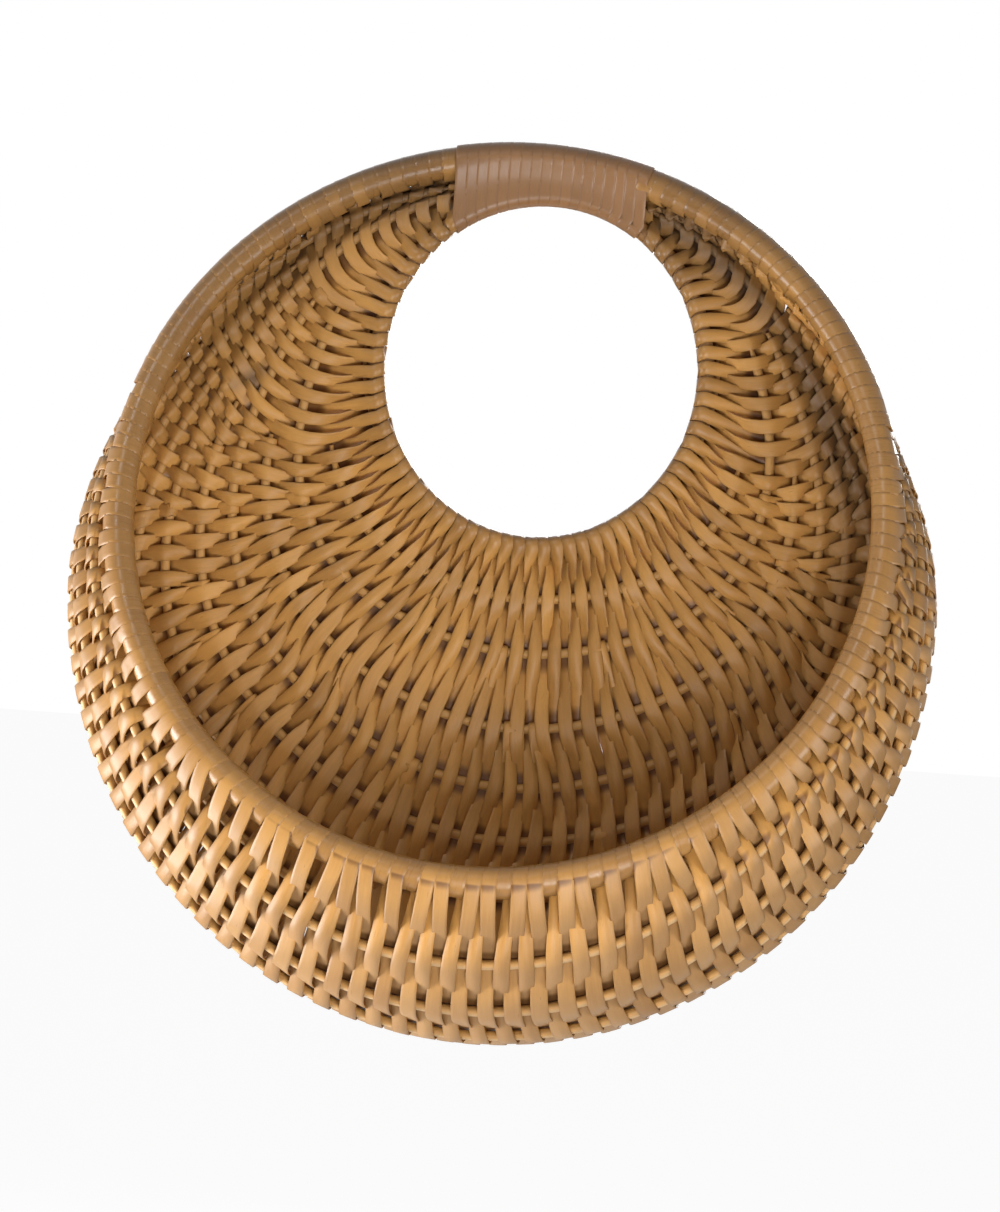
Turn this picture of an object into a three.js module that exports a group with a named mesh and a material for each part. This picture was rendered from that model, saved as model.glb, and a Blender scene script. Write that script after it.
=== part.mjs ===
// A half moon wall basket in millimetres: X to the right, Z up, the wall at y = 0 and the front toward -Y.
// The origin is where the basket hangs: the top of the round hand hole, in the plane of the wall.
// Two hoops carry it, a round one behind and a leaning one in front, bound together at the grip.
// Ribs run lengthwise from horn to horn, and flat splints weave over and under them from hoop to hoop.
import * as THREE from "three";

// Rods, splints and the room between pieces that touch
const RIM_ROD_RADIUS = 5.5;
const RING_ROD_RADIUS = 3.4;
const RIB_RADIUS = 1.6;
const SPLINT_THICKNESS = 1;
const CLEARANCE = 0.3;

// The hand hole, inside its wrapping
const HOLE_WIDTH = 137;
const HOLE_HEIGHT = 145;

// The grip: its length and winding, how far the rim hoop stands above the ring hoop there,
// and the room beside it before the weave starts
const GRIP_LENGTH = 88;
const GRIP_TURNS = 15;
const GRIP_SPLINT_WIDTH = 5;
const GRIP_CORNERS = 10;
const HOOP_RISE = 14.8;
const ROOM_BESIDE_GRIP = 3.2;

// The front rim is a round hoop that leans out from the wall and sits a little left of the hole
const RIM_RADIUS = 160.4;
const RIM_LEAN = THREE.MathUtils.degToRad(20.7);
const RIM_SHIFT = -10;

// The belly hangs below the rim, most at the bottom and less round the sides
const BELLY_DROP = 77;
const BELLY_SPREAD = THREE.MathUtils.degToRad(76);
const BELLY_DEPTH_SHARE = 0.45;
const BACK_FLATNESS = 0.8;
const BACK_ROUNDNESS = 0.6;
const FRONT_FULLNESS = 0.6;
const RIM_RISE_SHARE = 0.45;
const RIM_OVERHANG_SHARE = 0.1;

// Ribs, spread evenly over the wall between the two hoops. Where they would come closer than the least
// spacing, only every second, fourth or eighth one goes on.
const RIB_COUNT = 13;
const FIRST_RIB_SHARE = 0.04;
const LAST_RIB_SHARE = 0.944;
const ROOM_BESIDE_HOOP = 2;
const LEAST_RIB_SPACING = 9.5;
const WIDEST_RIB_INTERVAL = 8;

// Full rows from the bottom centre to a horn, each two passes of splint from hoop to hoop.
// Short rows turn back at a rib and fill out the rim side. Each number is how far in a short row
// starts, from 0 at the ring to 1 at the rim, and the rows are counted from the bottom centre.
const ROWS_PER_SIDE = 12;
const SHORT_ROWS = { 2: [0.33], 3: [0.4], 4: [0.33], 5: [0.4], 6: [0.5, 0.2], 10: [0.3] };
const SHORT_ROW_OPENING = 0.25;
const RING_TO_RIM_PITCH = 0.67;
const RING_PITCH_GROWTH = 0.25;
const RIM_PITCH_GROWTH = 0.1;

// Each splint leaves this share of its place bare at either edge, more beside one that crosses other ribs,
// and spreads where it turns round a rod. A steep one bends round a rib in place of creasing over it.
const SPLINT_EDGE_SHARE = 0.065;
const TURN_EDGE_SHARE = 0.1;
const LOOSE_EDGE_SHARE = 0.15;
const TURN_STEP = Math.PI / 4;
const ANGLE_TOLERANCE = 1e-6;
const WEAVER_END_GAP = 0.8;
const STEEP_SLOPE = THREE.MathUtils.degToRad(42);
const SETTLING_ROUNDS = 4;

// Sides of the faceted rods, and steps of the bare hoops under the grip
const HOOP_SIDES = 8;
const RIB_SIDES = 6;
const GRIP_STEPS = 12;

const { lerp, clamp } = THREE.MathUtils;
const RING = 0;
const RIM = RIB_COUNT + 1;

const material = (color, roughness) => new THREE.MeshStandardMaterial({ color, roughness, metalness: 0 });
const rodCane = material(0x9a6a34, 0.45);
const ribCane = material(0xb98a4a, 0.6);
const splintCane = material(0xc39552, 0.55);
const gripCane = material(0xb07a4c, 0.45);

const rodRadius = (warp) => (warp === RING ? RING_ROD_RADIUS : warp === RIM ? RIM_ROD_RADIUS : RIB_RADIUS);

// A splint bent round a rod in flat steps keeps its clearance at the middle of each step
const bendRadius = (rod) => (rod + CLEARANCE) / Math.cos(TURN_STEP / 2) + SPLINT_THICKNESS / 2;
const turnRadius = (warp) => bendRadius(rodRadius(warp));
const turnReach = (warp) => turnRadius(warp) + SPLINT_THICKNESS / 2;

// The two hoops
const wrapDepth = CLEARANCE + SPLINT_THICKNESS;
const ringHalfWidth = HOLE_WIDTH / 2 + RING_ROD_RADIUS + wrapDepth;
const ringHalfHeight = HOLE_HEIGHT / 2 + RING_ROD_RADIUS + wrapDepth;
const ringCentre = new THREE.Vector3(0, -turnReach(RING), -HOLE_HEIGHT / 2);
const rimDown = new THREE.Vector3(0, -Math.sin(RIM_LEAN), -Math.cos(RIM_LEAN));
const rimCentre = new THREE.Vector3(RIM_SHIFT, -turnReach(RIM), ringCentre.z + ringHalfHeight + HOOP_RISE)
  .addScaledVector(rimDown, RIM_RADIUS);

// Angles round a hoop start at its bottom and grow toward +X
function ringPoint(angle) {
  const offset = new THREE.Vector3(ringHalfWidth * Math.sin(angle), 0, -ringHalfHeight * Math.cos(angle));
  return offset.add(ringCentre);
}

function rimPoint(angle) {
  const across = new THREE.Vector3(RIM_RADIUS * Math.sin(angle), 0, 0);
  return across.addScaledVector(rimDown, RIM_RADIUS * Math.cos(angle)).add(rimCentre);
}

// The weave stops beside the grip, far enough out for its slanting turns to miss the grip's last turn
const weaveStart = GRIP_LENGTH / 2 + ROOM_BESIDE_GRIP;
const ringHorn = Math.PI - Math.asin(weaveStart / ringHalfWidth);
const rimHorn = (side) => Math.PI - Math.asin((weaveStart - side * RIM_SHIFT) / RIM_RADIUS);
const ringAngle = (u) => u * ringHorn;
const rimAngle = (u) => lerp(-rimHorn(-1), rimHorn(1), (u + 1) / 2);

// The widest line of the basket, behind and outside the rim
function widestPoint(angle) {
  const rim = rimPoint(angle);
  const outward = new THREE.Vector3(rim.x - rimCentre.x, 0, rim.z - rimCentre.z).normalize();
  const bulge = BELLY_DROP * Math.exp(-((angle / BELLY_SPREAD) ** 2));
  const point = rim.clone().addScaledVector(outward, bulge);
  point.y = lerp(ringCentre.y, rim.y, BELLY_DEPTH_SHARE);
  return { point, outward, bulge };
}

// The wall's line from the ring down the back, round the belly and up to the rim; u runs from horn to horn
function wallProfile(u) {
  const ring = ringPoint(ringAngle(u));
  const rim = rimPoint(rimAngle(u));
  const { point: widest, outward, bulge } = widestPoint(rimAngle(u));
  const backCorner = new THREE.Vector3(widest.x, ring.y, widest.z);
  const frontCorner = new THREE.Vector3(widest.x, lerp(widest.y, rim.y, FRONT_FULLNESS), widest.z);
  const belowRim = rim.clone().addScaledVector(outward, bulge * RIM_RISE_SHARE);
  belowRim.y -= bulge * RIM_OVERHANG_SHARE;
  const profile = new THREE.CurvePath();
  const flatHandle = ring.clone().lerp(backCorner, BACK_FLATNESS);
  const roundHandle = widest.clone().lerp(backCorner, BACK_ROUNDNESS);
  profile.add(new THREE.CubicBezierCurve3(ring, flatHandle, roundHandle, widest));
  profile.add(new THREE.CubicBezierCurve3(widest, frontCorner, belowRim, rim));
  return profile;
}

const roomAt = (hoop) => turnReach(hoop) + ROOM_BESIDE_HOOP;
const freeLength = (profile) => profile.getLength() - roomAt(RING) - roomAt(RIM);
const ribStep = (LAST_RIB_SHARE - FIRST_RIB_SHARE) / (RIB_COUNT - 1);

// How far a warp lies across the wall, from 0 at the ring to 1 at the rim
function warpShare(warp) {
  if (warp === RING) return 0;
  if (warp === RIM) return 1;
  return FIRST_RIB_SHARE + (warp - 1) * ribStep;
}

function wallPoint(u, warp) {
  const profile = wallProfile(u);
  if (warp === RING) return profile.getPoint(0);
  if (warp === RIM) return profile.getPoint(1);
  const along = roomAt(RING) + warpShare(warp) * freeLength(profile);
  return profile.getPoint(along / profile.getLength());
}

// One side's passes from the bottom centre to the horn, each full row with its short rows inside it
function sidePasses() {
  const passes = [];
  for (let row = 1; row <= ROWS_PER_SIDE; row += 1) {
    const place = row / ROWS_PER_SIDE - 0.5;
    passes.push({ full: true, place });
    for (const start of SHORT_ROWS[row] ?? []) {
      passes.push({ start, place }, { start, place });
    }
    passes.push({ full: true, place });
  }
  return passes;
}

const passes = [...sidePasses().reverse(), ...sidePasses()];
const cellCount = passes.length / 2;

// The width that a pass takes up at some share of the way across the wall
function passWidth(pass, share) {
  const rimWidth = 1 + RIM_PITCH_GROWTH * pass.place;
  const ringWidth = RING_TO_RIM_PITCH * (1 + RING_PITCH_GROWTH * pass.place);
  if (pass.full) return lerp(ringWidth, rimWidth, share);
  return rimWidth * clamp((share - pass.start) / SHORT_ROW_OPENING, 0, 1);
}

// The edges of all passes at one warp, as u from -1 at the left horn to 1 at the right one
function passEdges(warp) {
  const widths = passes.map((pass) => passWidth(pass, warpShare(warp)));
  const total = widths.reduce((sum, width) => sum + width, 0);
  const edges = [-1];
  for (const width of widths) edges.push(edges.at(-1) + (2 * width) / total);
  return edges;
}

// Every warp is straight across a cell of two passes, so the splints lie flat on it
const warps = [];
for (let warp = RING; warp <= RIM; warp += 1) {
  const edges = passEdges(warp);
  const corners = [];
  for (let cell = 0; cell <= cellCount; cell += 1) corners.push(wallPoint(edges[2 * cell], warp));
  warps.push({ edges, corners });
}

// Toward the horns the wall narrows and every second rib stops, then every second one again
function ribInterval(cell) {
  const edges = warps[(RIB_COUNT + 1) / 2].edges;
  const free = freeLength(wallProfile((edges[2 * cell] + edges[2 * cell + 2]) / 2));
  let interval = 1;
  while (interval < WIDEST_RIB_INTERVAL && interval * ribStep * free < LEAST_RIB_SPACING) interval *= 2;
  return interval;
}

const cells = [];
for (let cell = 0; cell < cellCount; cell += 1) {
  const interval = ribInterval(cell);
  const active = [RING];
  for (let rib = 1; rib <= RIB_COUNT; rib += 1) {
    if (rib % interval === interval - 1) active.push(rib);
  }
  cells.push([...active, RIM]);
}

const middle = (cell, warp) => warps[warp].corners[cell].clone().lerp(warps[warp].corners[cell + 1], 0.5);

// Directions at a warp inside one cell: along the warp, across the wall toward the rim, and outward
function cellFrame(cell, warp) {
  const active = cells[cell];
  const place = active.indexOf(warp);
  const before = active[Math.max(place - 1, 0)];
  const after = active[Math.min(place + 1, active.length - 1)];
  const along = warps[warp].corners[cell + 1].clone().sub(warps[warp].corners[cell]).normalize();
  const toRim = middle(cell, after).sub(middle(cell, before));
  const out = along.clone().cross(toRim).normalize();
  return { out, toRim: out.clone().cross(along) };
}

// A point on a warp at a place counted in passes, such as 4.5 for the middle of pass 4
function pointAcross(place, warp) {
  const { edges, corners } = warps[warp];
  const cell = Math.min(Math.floor(place / 2), cellCount - 1);
  const pass = Math.min(Math.floor(place), passes.length - 1);
  const edge = lerp(edges[pass], edges[pass + 1], place - pass);
  const share = (edge - edges[2 * cell]) / (edges[2 * cell + 2] - edges[2 * cell]);
  return corners[cell].clone().lerp(corners[cell + 1], share);
}

// Four corners of a splint that stands off a warp at an angle, 0 on its outer side and PI on its inner
// side. Face is 1 where the splint's first face looks away from the warp, and far is 1 where it goes round
// the side toward the rim, or -1 round the side toward the ring.
function splintSection({ left, right, warp, angle, radius, face, far = 1 }) {
  const corner = (place, reach) => {
    const { out, toRim } = cellFrame(Math.min(Math.floor(place / 2), cellCount - 1), warp);
    const point = pointAcross(place, warp);
    point.addScaledVector(out, reach * Math.cos(angle));
    return point.addScaledVector(toRim, far * reach * Math.sin(angle));
  };
  const first = radius + (face * SPLINT_THICKNESS) / 2;
  const second = radius - (face * SPLINT_THICKNESS) / 2;
  return [corner(left, first), corner(right, first), corner(right, second), corner(left, second)];
}

// Even passes run up from the ring and end outside the rim, odd ones run down from inside it
const goesUp = (pass) => pass % 2 === 0;
const passCell = (pass) => Math.floor(pass / 2);

// The warps that a pass meets, from the ring side to the rim; a short row starts at its turning rib
function warpsOf(pass) {
  const active = cells[passCell(pass)];
  if (passes[pass].full) return active;
  const opened = passes[pass].start + SHORT_ROW_OPENING / 2;
  return active.filter((warp) => warp === RIM || (warp !== RING && warpShare(warp) >= opened));
}

// A splint changes side at every warp, so its side at the rim sets all others
function sideOf(pass, warp) {
  const active = cells[passCell(pass)];
  const steps = active.length - 1 - active.indexOf(warp);
  const atRim = goesUp(pass) ? 1 : -1;
  return steps % 2 === 0 ? atRim : -atRim;
}

// The two edges of a pass's splint, in passes
function splintEdges(pass) {
  const bareBeside = (neighbour) => {
    const there = cells[passCell(neighbour)] ?? cells[passCell(pass)];
    return there.length === cells[passCell(pass)].length ? SPLINT_EDGE_SHARE : LOOSE_EDGE_SHARE;
  };
  return { left: pass + bareBeside(pass - 1), right: pass + 1 - bareBeside(pass + 1) };
}

// Where the middle of a pass stands off a warp at an angle, 0 on its outer side and PI on its inner side
function standPoint({ pass, warp, radius, far }, angle) {
  const { out, toRim } = cellFrame(passCell(pass), warp);
  const point = pointAcross(pass + 0.5, warp).addScaledVector(out, radius * Math.cos(angle));
  return point.addScaledVector(toRim, far * radius * Math.sin(angle));
}

// A point as seen from a warp: how far away across the wall, and how high on the side the splint is on
function seenFrom({ pass, warp, side }, point) {
  const { out, toRim } = cellFrame(passCell(pass), warp);
  const offset = point.clone().sub(pointAcross(pass + 0.5, warp));
  return { away: Math.abs(offset.dot(toRim)), high: side * offset.dot(out) };
}

// The slope at which a splint bent round a warp leaves it to run straight on to a point
function tangentSlope(stand, point) {
  const { away, high } = seenFrom(stand, point);
  const bend = turnRadius(stand.warp);
  return Math.asin(Math.min(bend / Math.hypot(away, high), 1)) - Math.atan2(high, away);
}

// The slope from the crest of a splint over a rib down to a point
function crestSlope(stand, point) {
  const { away, high } = seenFrom(stand, point);
  return Math.atan2(stand.radius - high, away);
}

// A splint over a rib has one crest, raised by its slopes, or bends round the rib where it falls steeply
function settleStand(stand, ringSide, rimSide) {
  const slopes = [tangentSlope(stand, ringSide), tangentSlope(stand, rimSide)];
  stand.bent = Math.max(...slopes) > STEEP_SLOPE;
  if (stand.bent) {
    stand.radius = turnRadius(stand.warp);
    stand.towardRing = stand.angle - stand.side * Math.max(slopes[0], 0);
    stand.towardRim = stand.angle + stand.side * Math.max(slopes[1], 0);
  } else {
    const steepest = Math.max(crestSlope(stand, ringSide), crestSlope(stand, rimSide), 0);
    stand.radius = (RIB_RADIUS + CLEARANCE) / Math.cos(steepest) + SPLINT_THICKNESS / 2;
    stand.towardRing = stand.angle;
    stand.towardRim = stand.angle;
  }
}

// How a pass stands off every warp it meets: bent round the first and last, and over or under the rest
function settlePass(pass) {
  const stands = warpsOf(pass).map((warp) => {
    const side = sideOf(pass, warp);
    const angle = side > 0 ? 0 : Math.PI;
    const radius = turnRadius(warp);
    return { pass, warp, side, angle, radius, far: 1, towardRing: angle, towardRim: angle };
  });
  const first = stands[0];
  const last = stands.at(-1);
  first.far = -1;
  for (let round = 0; round < SETTLING_ROUNDS; round += 1) {
    const second = standPoint(stands[1], stands[1].towardRing);
    const secondLast = standPoint(stands.at(-2), stands.at(-2).towardRim);
    first.towardRim = first.angle - first.side * tangentSlope(first, second);
    last.towardRing = last.angle - last.side * tangentSlope(last, secondLast);
    for (let place = 1; place < stands.length - 1; place += 1) {
      const before = stands[place - 1];
      const after = stands[place + 1];
      settleStand(stands[place], standPoint(before, before.towardRim), standPoint(after, after.towardRing));
    }
  }
  return stands;
}

const settled = passes.map((unused, pass) => settlePass(pass));

// The angle at which a pass leaves the warp that it turns round, its rim or its ring or rib
function leavingAngle(pass, warp) {
  return warp === RIM ? settled[pass].at(-1).towardRing : settled[pass][0].towardRim;
}

// The splint's first face looks away from a warp on its outer side going up and on its inner side going down
const faceAt = (pass, warp) => (goesUp(pass) ? sideOf(pass, warp) : -sideOf(pass, warp));

// Sections of a pass over the ribs between its two ends
function crossingSections(pass) {
  const { left, right } = splintEdges(pass);
  const sections = [];
  for (const { warp, angle, radius, bent, towardRing, towardRim } of settled[pass].slice(1, -1)) {
    const face = faceAt(pass, warp);
    if (bent) {
      const places = () => ({ left, right });
      sections.push(...bendSections({ from: towardRing, to: towardRim, warp, face, places, far: 1 }));
    } else {
      sections.push(splintSection({ left, right, warp, angle, radius, face }));
    }
  }
  return goesUp(pass) ? sections : sections.reverse();
}

// A bend round a warp from one angle to another, in steps small enough to clear the rod
function bendSections({ from, to, warp, face, places, far = warp === RIM ? 1 : -1 }) {
  const steps = Math.max(Math.ceil(Math.abs(to - from) / TURN_STEP - ANGLE_TOLERANCE), 1);
  const sections = [];
  for (let step = 0; step <= steps; step += 1) {
    const angle = lerp(from, to, step / steps);
    const { left, right } = places(angle);
    sections.push(splintSection({ left, right, warp, angle, radius: turnRadius(warp), face, far }));
  }
  return sections;
}

// The edges of a splint part of the way through a turn from one pass to the next, where it spreads
function turnPlaces(pass, progress) {
  const here = splintEdges(pass);
  const next = splintEdges(pass + 1);
  const wideLeft = Math.max(here.left, pass + TURN_EDGE_SHARE);
  const wideRight = Math.min(next.right, pass + 2 - TURN_EDGE_SHARE);
  const opened = 2 * progress;
  if (opened < 1) {
    return { left: lerp(here.left, wideLeft, opened), right: lerp(here.right, wideRight, opened) };
  }
  const rest = opened - 1;
  return { left: lerp(wideLeft, next.left, rest), right: lerp(wideRight, next.right, rest) };
}

// A turn from one pass to the next, or the share of it between begin and end
function turnSections(pass, warp, begin = 0, end = 1) {
  const from = leavingAngle(pass, warp);
  const to = leavingAngle(pass + 1, warp);
  const places = (angle) => turnPlaces(pass, (angle - from) / (to - from));
  const bend = { from: lerp(from, to, begin), to: lerp(from, to, end), warp, places };
  return bendSections({ ...bend, face: faceAt(pass, warp) });
}

// The tucked end of the first or last splint, bent half way round the ring
function tuckedSections(pass) {
  const leaving = leavingAngle(pass, RING);
  const places = () => splintEdges(pass);
  const bend = { from: Math.PI / 2, to: leaving, warp: RING, places };
  const sections = bendSections({ ...bend, face: faceAt(pass, RING) });
  return goesUp(pass) ? sections : sections.reverse();
}

// Two weavers share a turn round the ring: one ends on the inner side, and the next goes on from there
function sharedTurn(pass) {
  const sweep = Math.abs(leavingAngle(pass + 1, RING) - leavingAngle(pass, RING));
  const end = TURN_STEP / sweep;
  return { end, begin: end + WEAVER_END_GAP / (turnRadius(RING) * sweep) };
}

// A closed skin round a chain of sections with the same number of corners
function skin(sections, closed = false) {
  const sides = sections[0].length;
  const positions = sections.flat().flatMap((point) => point.toArray());
  const index = [];
  const links = closed ? sections.length : sections.length - 1;
  for (let link = 0; link < links; link += 1) {
    const here = link * sides;
    const next = ((link + 1) % sections.length) * sides;
    for (let side = 0; side < sides; side += 1) {
      const turned = (side + 1) % sides;
      index.push(here + side, here + turned, next + turned, here + side, next + turned, next + side);
    }
  }
  const last = (sections.length - 1) * sides;
  for (let side = 1; !closed && side < sides - 1; side += 1) {
    index.push(0, side + 1, side, last, last + side, last + side + 1);
  }
  const geometry = new THREE.BufferGeometry();
  geometry.setAttribute("position", new THREE.Float32BufferAttribute(positions, 3));
  geometry.setIndex(index);
  geometry.computeVertexNormals();
  return geometry;
}

// A weaver is one full row with its short rows: up, round the rim, in and out, and back down to the ring
function weaverGeometry(first, last) {
  const sections = [];
  if (first === 0) {
    sections.push(...tuckedSections(first));
  } else {
    sections.push(...turnSections(first - 1, RING, sharedTurn(first - 1).begin));
  }
  for (let pass = first; pass <= last; pass += 1) {
    sections.push(...crossingSections(pass));
    if (goesUp(pass)) {
      sections.push(...turnSections(pass, RIM));
    } else if (pass < last) {
      sections.push(...turnSections(pass, warpsOf(pass)[0]));
    }
  }
  if (last === passes.length - 1) {
    sections.push(...tuckedSections(last));
  } else {
    sections.push(...turnSections(last, RING, 0, sharedTurn(last).end));
  }
  return skin(sections);
}

// A round rod along a chain of points, cut square at its ends or closed to a hoop
function rodGeometry(points, radius, sides, closed = false) {
  const count = points.length;
  const at = (place) => points[closed ? (place + count) % count : clamp(place, 0, count - 1)];
  const sections = points.map((point, place) => {
    const along = at(place + 1).clone().sub(at(place - 1)).normalize();
    const back = new THREE.Vector3(0, 1, 0).addScaledVector(along, -along.y).normalize();
    const across = along.clone().cross(back);
    return Array.from({ length: sides }, (unused, side) => {
      const angle = (2 * Math.PI * (side + 0.5)) / sides;
      const corner = point.clone().addScaledVector(back, radius * Math.cos(angle));
      return corner.addScaledVector(across, radius * Math.sin(angle));
    });
  });
  return skin(sections, closed);
}

// Corner points of a warp, without those that short rows bring together
function warpPoints(warp, firstCell, lastCell) {
  const points = [];
  for (const corner of warps[warp].corners.slice(firstCell, lastCell + 2)) {
    const previous = points.at(-1);
    if (!previous || previous.distanceTo(corner) > SPLINT_THICKNESS) points.push(corner);
  }
  return points;
}

function hoopGeometry(warp) {
  const points = warpPoints(warp, 0, cellCount - 1);
  const pointAt = warp === RING ? ringPoint : rimPoint;
  const rightHorn = warp === RING ? ringHorn : rimHorn(1);
  const leftHorn = warp === RING ? ringHorn : rimHorn(-1);
  for (let step = 1; step < GRIP_STEPS; step += 1) {
    points.push(pointAt(lerp(rightHorn, 2 * Math.PI - leftHorn, step / GRIP_STEPS)));
  }
  return rodGeometry(points, rodRadius(warp), HOOP_SIDES, true);
}

// A rib reaches as far toward each horn as the splints weave it, and ends under the last of them
function ribGeometry(rib) {
  const crossing = passes.flatMap((unused, pass) => (warpsOf(pass).includes(rib) ? [pass] : []));
  const first = crossing[0];
  const last = crossing.at(-1);
  const between = warpPoints(rib, passCell(first) + 1, passCell(last) - 1);
  const points = [pointAcross(first + 0.5, rib), ...between, pointAcross(last + 0.5, rib)];
  return rodGeometry(points, RIB_RADIUS, RIB_SIDES);
}

// The two hoops under the grip at some x: the centre of each, and how far a slanting rod is stretched in z
function hoopAt(warp, x) {
  const centre = warp === RING ? ringCentre : rimCentre;
  const halfWidth = warp === RING ? ringHalfWidth : RIM_RADIUS;
  const angle = Math.PI - Math.asin((x - centre.x) / halfWidth);
  const point = warp === RING ? ringPoint(angle) : rimPoint(angle);
  return { point, stretch: 1 / Math.abs(Math.cos(angle)) };
}

// Corners of a grip turn, counted round from the back of the ring, under it, up the front and over the rim
function gripPoint(corner, x, lift) {
  const half = GRIP_CORNERS / 2;
  const warp = corner < half ? RING : RIM;
  const { point, stretch } = hoopAt(warp, x);
  const angle = ((corner - (corner < half ? 0 : 1)) * Math.PI) / (half - 1);
  const radius = turnRadius(warp) + lift;
  const onWall = corner === 0 || corner === GRIP_CORNERS - 1;
  point.y = onWall ? -SPLINT_THICKNESS / 2 + lift : point.y + radius * Math.cos(angle);
  point.z -= radius * Math.sin(angle) * stretch;
  return new THREE.Vector3(x, point.y, point.z);
}

const gripPitch = (GRIP_LENGTH - GRIP_SPLINT_WIDTH) / GRIP_TURNS;

// The grip's splint winds round both hoops from the left end to the right one
function gripSections() {
  const sections = [];
  for (let step = 0; step <= GRIP_TURNS * GRIP_CORNERS; step += 1) {
    const left = (step / GRIP_CORNERS) * gripPitch - GRIP_LENGTH / 2;
    const right = left + GRIP_SPLINT_WIDTH;
    const corner = step % GRIP_CORNERS;
    const outside = SPLINT_THICKNESS / 2;
    sections.push([
      gripPoint(corner, left, outside),
      gripPoint(corner, right, outside),
      gripPoint(corner, right, -outside),
      gripPoint(corner, left, -outside),
    ]);
  }
  return sections;
}

// The least gap between neighbouring grip turns, from the right edge of one to the left edge of the next
function leastGripGap(sections) {
  const nextTurns = sections.slice(GRIP_CORNERS);
  return Math.min(...nextTurns.map((section, step) => section[0].distanceTo(sections[step][1])));
}

// Two digits, as in the names of the ribs and weavers
const twoDigits = (number) => String(number).padStart(2, "0");

function addPiece(basket, name, geometry, cane) {
  const piece = new THREE.Mesh(geometry, cane);
  piece.name = name;
  basket.add(piece);
}

const basket = new THREE.Group();
addPiece(basket, "front_rim_hoop", hoopGeometry(RIM), rodCane);
addPiece(basket, "inner_ring_hoop", hoopGeometry(RING), rodCane);
for (let rib = 1; rib <= RIB_COUNT; rib += 1) {
  addPiece(basket, `rib_${twoDigits(rib)}`, ribGeometry(rib), ribCane);
}

let firstPass = 0;
for (let weaver = 1; weaver <= 2 * ROWS_PER_SIDE; weaver += 1) {
  let lastPass = firstPass + 1;
  while (!passes[lastPass].full) lastPass += 1;
  addPiece(basket, `weaver_${twoDigits(weaver)}`, weaverGeometry(firstPass, lastPass), splintCane);
  firstPass = lastPass + 1;
}

const gripTurns = gripSections();
addPiece(basket, "grip_wrap", skin(gripTurns), gripCane);
console.log(`least gap between the grip's turns: ${leastGripGap(gripTurns).toFixed(2)} mm`);

export default basket;
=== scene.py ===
"""Looks of a half moon wall basket: round cane hoops and ribs, flat splints woven over them, and a bound grip.

All lengths are in metres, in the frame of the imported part: X to the right, Z up, the wall at y = 0.
The wall between the hoops is measured by u, from -1 at the left horn to 1 at the right one, and by a share
from 0 at the ring to 1 at the rim.
"""

import math

import bpy
import numpy as np
from bpy.props import FloatProperty, FloatVectorProperty, IntProperty, PointerProperty
from mathutils import Matrix, Vector


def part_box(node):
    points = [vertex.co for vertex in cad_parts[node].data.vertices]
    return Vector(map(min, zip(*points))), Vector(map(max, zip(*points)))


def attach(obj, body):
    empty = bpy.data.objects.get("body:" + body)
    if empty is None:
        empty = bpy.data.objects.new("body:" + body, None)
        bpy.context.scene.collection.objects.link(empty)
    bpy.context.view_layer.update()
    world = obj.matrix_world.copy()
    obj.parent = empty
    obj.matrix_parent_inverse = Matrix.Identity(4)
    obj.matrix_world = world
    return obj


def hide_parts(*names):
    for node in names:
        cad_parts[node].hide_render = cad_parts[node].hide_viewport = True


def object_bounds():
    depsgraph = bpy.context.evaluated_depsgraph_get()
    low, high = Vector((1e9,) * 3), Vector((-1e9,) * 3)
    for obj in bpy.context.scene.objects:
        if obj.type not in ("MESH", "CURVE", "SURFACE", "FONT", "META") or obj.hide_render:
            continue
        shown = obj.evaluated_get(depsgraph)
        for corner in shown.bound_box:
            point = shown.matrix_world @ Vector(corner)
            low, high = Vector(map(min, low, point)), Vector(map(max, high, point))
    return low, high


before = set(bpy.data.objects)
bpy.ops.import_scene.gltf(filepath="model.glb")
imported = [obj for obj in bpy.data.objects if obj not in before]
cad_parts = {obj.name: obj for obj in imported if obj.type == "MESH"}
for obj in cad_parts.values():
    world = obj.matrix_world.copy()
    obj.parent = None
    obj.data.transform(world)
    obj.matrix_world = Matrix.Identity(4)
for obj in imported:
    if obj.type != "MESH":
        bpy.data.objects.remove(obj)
CAD_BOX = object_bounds()

bl_info = {
    "name": "Half moon wall basket",
    "version": (1, 0, 0),
    "blender": (4, 5, 0),
    "location": "View3D > Sidebar > Basket",
    "description": "Weaves a cane wall basket over its packed frame",
    "category": "Add Mesh",
}

MM = 0.001
SEED = 7
WHITE = (1, 1, 1)

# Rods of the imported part, and the share of an eight-sided rod's radius that its flat sides keep
RIM_ROD_RADIUS = 5.5 * MM
RING_ROD_RADIUS = 3.4 * MM
RIB_RADIUS = 2.1 * MM
ROD_FLATS = math.cos(math.pi / 8)

# The belly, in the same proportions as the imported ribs
BELLY_DROP = 77 * MM
BELLY_SPREAD = math.radians(76)
BELLY_DEPTH_SHARE = 0.45
BACK_FLATNESS = 0.8
BACK_ROUNDNESS = 0.6
FRONT_FULLNESS = 0.6
RIM_RISE_SHARE = 0.45
RIM_OVERHANG_SHARE = 0.1

# High up at the sides the belly draws in behind the rim: by how much, and over which angles
SIDE_TUCK = 7.5 * MM
TUCK_START = math.radians(76)
TUCK_REACH = math.radians(34)

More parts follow.
